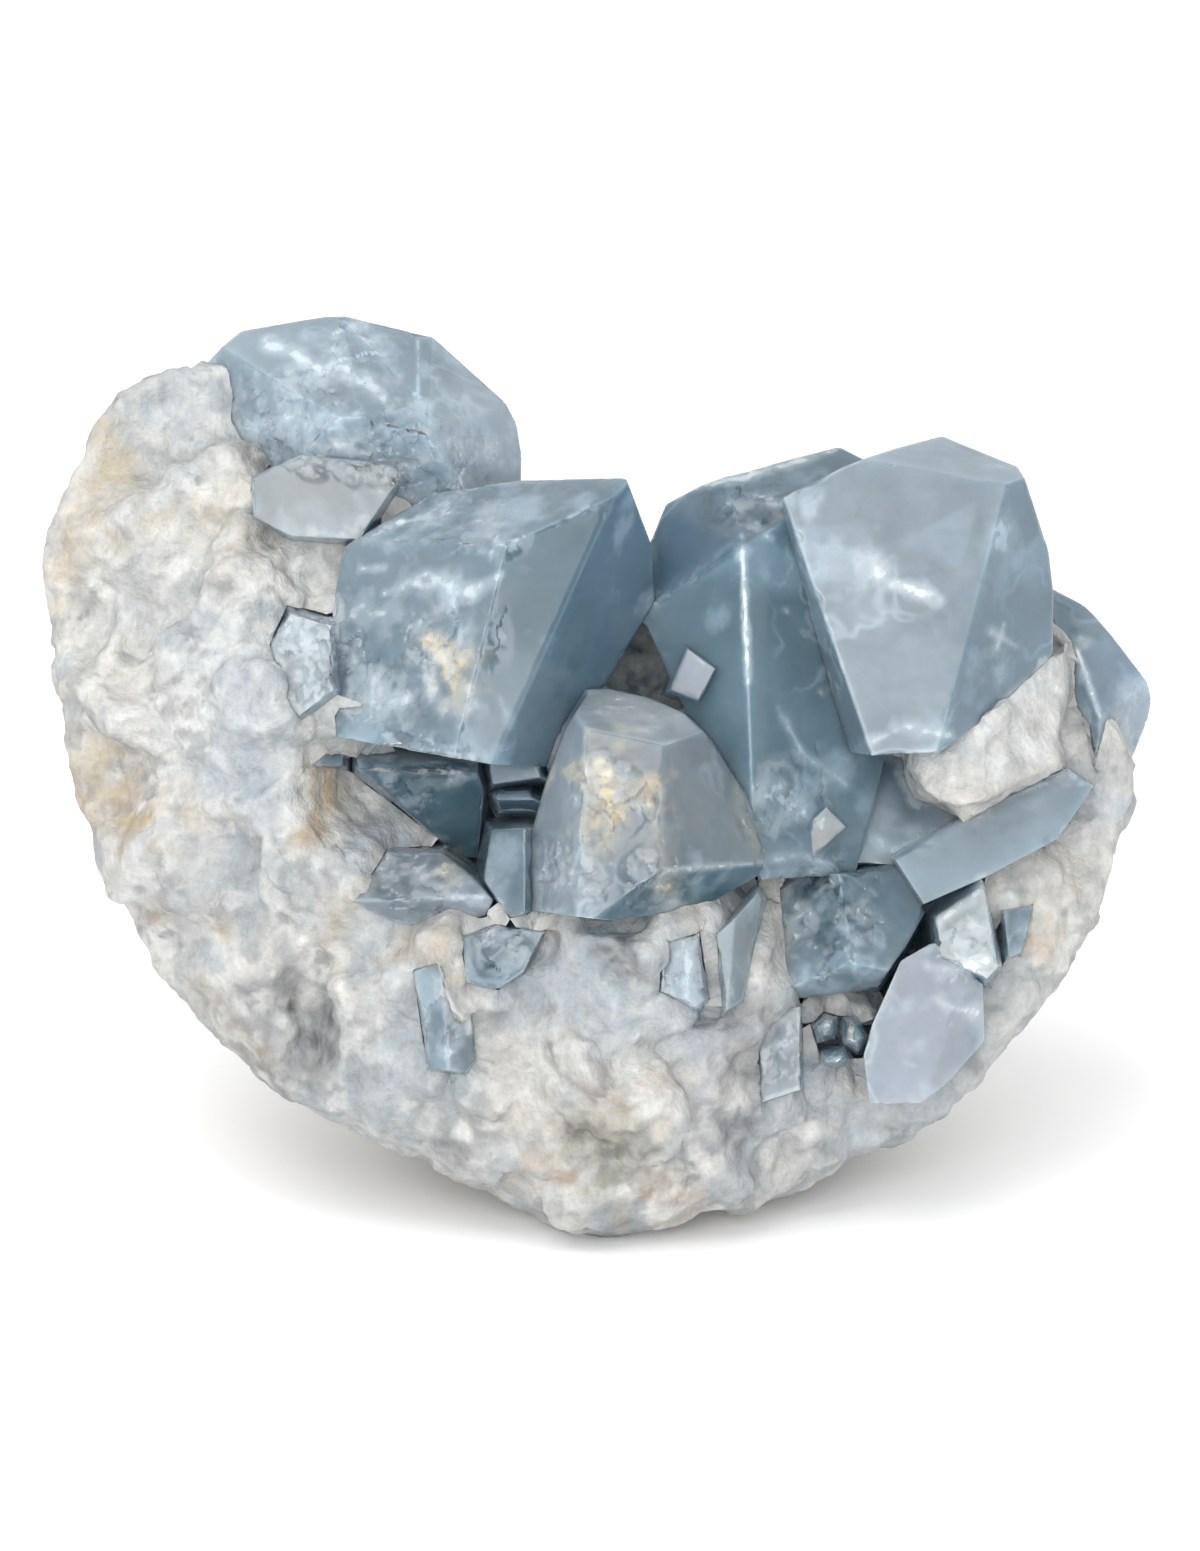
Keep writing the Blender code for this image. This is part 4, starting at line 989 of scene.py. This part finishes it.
def rock_piece(rock, solids, material):
    crystals = tree_of(list(solids.values()))
    points, triangles, away = rock_mesh(rock, crystals)
    edges, _ = edges_of(triangles)
    still = (away < SOCKET_REACH) | (points[:, 2] < 0.3)
    points = np.where(still[:, None], points, evened(points, edges, 3, 0.5))
    still |= normals_of(points, triangles) @ NEAR > -0.2
    points = np.where(still[:, None], points, evened(points, edges, 12, 0.5))
    normal = unit(evened(normals_of(points, triangles), edges, 6, 0.85))
    broken = smooth(-0.3, 0.1, normal @ NEAR + 0.2 * clouds(points, 3.0, 2, 481))
    plain = points
    warped = bent(points, 3.0, 0.5, 300)
    large, medium, small = (grains(warped, cell, salt) for cell, salt in ((4.6, 11), (2.3, 31), (1.2, 51)))
    height = 0.55 * large[0] + 0.35 * medium[0] + 0.12 * small[0]
    height = evened(height, edges, 2, 0.5) + 0.22 * fibres(points, 1.8, 91)
    rind = 0.5 * clouds(points, 2.2, 4, 71) - 0.25 * smooth(0.1, 0.6, clouds(points, 1.0, 3, 81))
    rind -= 0.5 * smooth(0.35, 0.9, clouds(points, 3.4, 3, 86)) + 0.25 * smooth(0.3, 0.0, medium[2])
    lift = broken * height + (1 - broken) * rind * 0.8
    lift *= np.where(away < SOCKET_REACH, 0.5, 1.0)
    # A ragged crust climbs up the crystals from where they leave the rock.
    open_air = np.array([
        float(crystals.ray_cast(Vector(place + way * 0.05), Vector(way), 2.5)[0] is None)
        for place, way in zip(points, normal)
    ])
    crust = np.clip(0.6 + 1.0 * clouds(points, 2.6, 3, 95), 0, 1.6) * smooth(2.8, 0.5, away)
    lift += evened(open_air * broken * crust, edges, 10, 0.8)
    across, down, _ = front_view(points)
    for bare_across, bare_down, reach in BARE:
        near_by = smooth(1.2, 0.7, np.hypot(across - bare_across, down - bare_down) / reach) * broken
        lift -= near_by * (lift + 0.4)
    lift *= smooth(0.0, 2.0, points[:, 2])
    points = points + normal * lift[:, None]
    points[:, 2] = np.maximum(points[:, 2], 0.0)
    points = meet(points, crystals, near=0.5, far=0.95, depth=0.07)
    colour, cover = rock_colour(plain, triangles, broken, away, (large, medium))
    print("rock", len(triangles), "triangles")
    colour /= ROCK_LIT
    piece("rock_of_the_nodule", points, triangles, material, "matrix", colour, cover)


def rock_colour(points, triangles, broken, away, grained):
    """The rock's tone at each corner: fibres and grains, warm and cool clouds, then stains and pits."""
    def corners(values):
        return values[triangles].reshape(-1)

    large, medium = grained
    mottled = clouds(points, 5.0, 4, 401)
    fibrous = fibres(points, 1.7, 431)
    shade = 1 + 0.13 * mottled + 0.15 * fibrous + 0.07 * clouds(points, 0.9, 2, 441)
    shade += 0.1 * (large[1] - 0.5) + 0.1 * (medium[1] - 0.5)
    colour = linear(TONES["chalk"]) * corners(shade)[:, None]

    blend = blend_over(colour)
    blend("frost", 0.5 * corners(smooth(0.0, 0.9, clouds(points, 12.0, 4, 411))))
    blend("cream", 0.4 * corners(smooth(0.2, 0.9, clouds(points, 12.0, 4, 421))))
    blend("white", 0.75 * corners(smooth(0.1, 0.8, fibrous + 0.4 * mottled)))
    blend("grey", 0.75 * corners(smooth(0.15, 0.8, clouds(points, 3.2, 4, 445))))
    blend("ash", 0.75 * corners(smooth(0.25, 0.7, clouds(points, 1.6, 3, 455) + 0.4 * mottled)))
    blend("soot", 0.5 * corners(wisps(points, 3.0, 461) * smooth(0.35, 0.7, clouds(points, 4.0, 2, 465))))
    broken = corners(np.maximum(broken, smooth(3.0, 1.5, away)))
    colour, cover = painted(points, triangles, broken, colour, ROCK_MARKS, 460)
    # The rind: tan and grey, on the outside of the nodule.
    outside = 1 - broken
    blend("stone", outside * 0.8)
    blend("beige", outside * 0.45 * corners(smooth(-0.3, 0.8, clouds(points, 9.0, 5, 471))))
    blend("ash", outside * 0.55 * corners(smooth(-0.1, 0.9, clouds(points, 6.0, 5, 491))))
    blend("white", outside * 0.6 * corners(smooth(0.2, 0.8, clouds(points, 2.4, 4, 495) + 0.5 * fibrous)))
    blend("brown", outside * 0.5 * corners(smooth(0.45, 0.9, clouds(points, 1.5, 3, 499))))
    return colour, cover


def camera():
    data = bpy.data.cameras.new("camera")
    data.sensor_fit = "VERTICAL"
    data.sensor_height = SENSOR
    data.lens = SENSOR * DISTANCE / (PICTURE[1] / PIXELS_PER_MM)
    data.clip_start, data.clip_end = 0.01, 20.0
    obj = bpy.data.objects.new("camera", data)
    axes = Matrix((RIGHT, UP, NEAR)).transposed()
    obj.matrix_world = Matrix.Translation((CENTRE - UP * VIEW_DROP + NEAR * DISTANCE) * MM) @ axes.to_4x4()
    bpy.context.scene.collection.objects.link(obj)
    bpy.context.scene.camera = obj


# The lamps, in metres: both are round and look at the specimen's middle.
LAMP_SIZE = 0.7
LAMP_AIM = Vector((0, 0, 0.04))


def area_light(name, place, power):
    data = bpy.data.lights.new(name, "AREA")
    data.shape, data.size, data.energy = "DISK", LAMP_SIZE, power
    obj = bpy.data.objects.new(name, data)
    obj.location = place
    obj.rotation_euler = (LAMP_AIM - Vector(place)).to_track_quat("-Z", "Y").to_euler()
    bpy.context.scene.collection.objects.link(obj)


def studio():
    world = bpy.data.worlds.new("soft_white")
    world.use_nodes = True
    world.node_tree.nodes["Background"].inputs["Color"].default_value = (1, 1, 1, 1)
    world.node_tree.nodes["Background"].inputs["Strength"].default_value = 1.0
    bpy.context.scene.world = world
    area_light("top_light", (-0.25, -0.35, 0.9), power=4.0)
    area_light("front_light", (-0.1, -0.85, 0.35), power=5.5)
    bpy.ops.mesh.primitive_plane_add(size=12)
    floor = bpy.context.object
    floor.name = "floor"
    floor.data.materials.append(floor_material())
    scene = bpy.context.scene
    scene.view_settings.view_transform = "Standard"
    scene.view_settings.look = "None"


def main():
    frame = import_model()
    for obj in list(bpy.data.objects):
        if obj.type in ("CAMERA", "LIGHT") or obj.name == "Cube":
            bpy.data.objects.remove(obj)
    camera()
    studio()
    nodes = {name: solid_of(node) for name, node in frame["nodes"].items()}
    rock = nodes.pop("matrix")
    solids = {name: nodes[name] for name in GROUPS}
    faces = {name: flat_faces(*solid) for name, solid in solids.items()}
    places = seen_faces(solids, faces)
    crystal = crystal_material()
    for number, name in enumerate(GROUPS):
        crystal_piece(name, solids, faces, places, rock, GROUPS[:number], crystal, 100 + 100 * number)
    rock_piece(rock, solids, rock_material())


main()
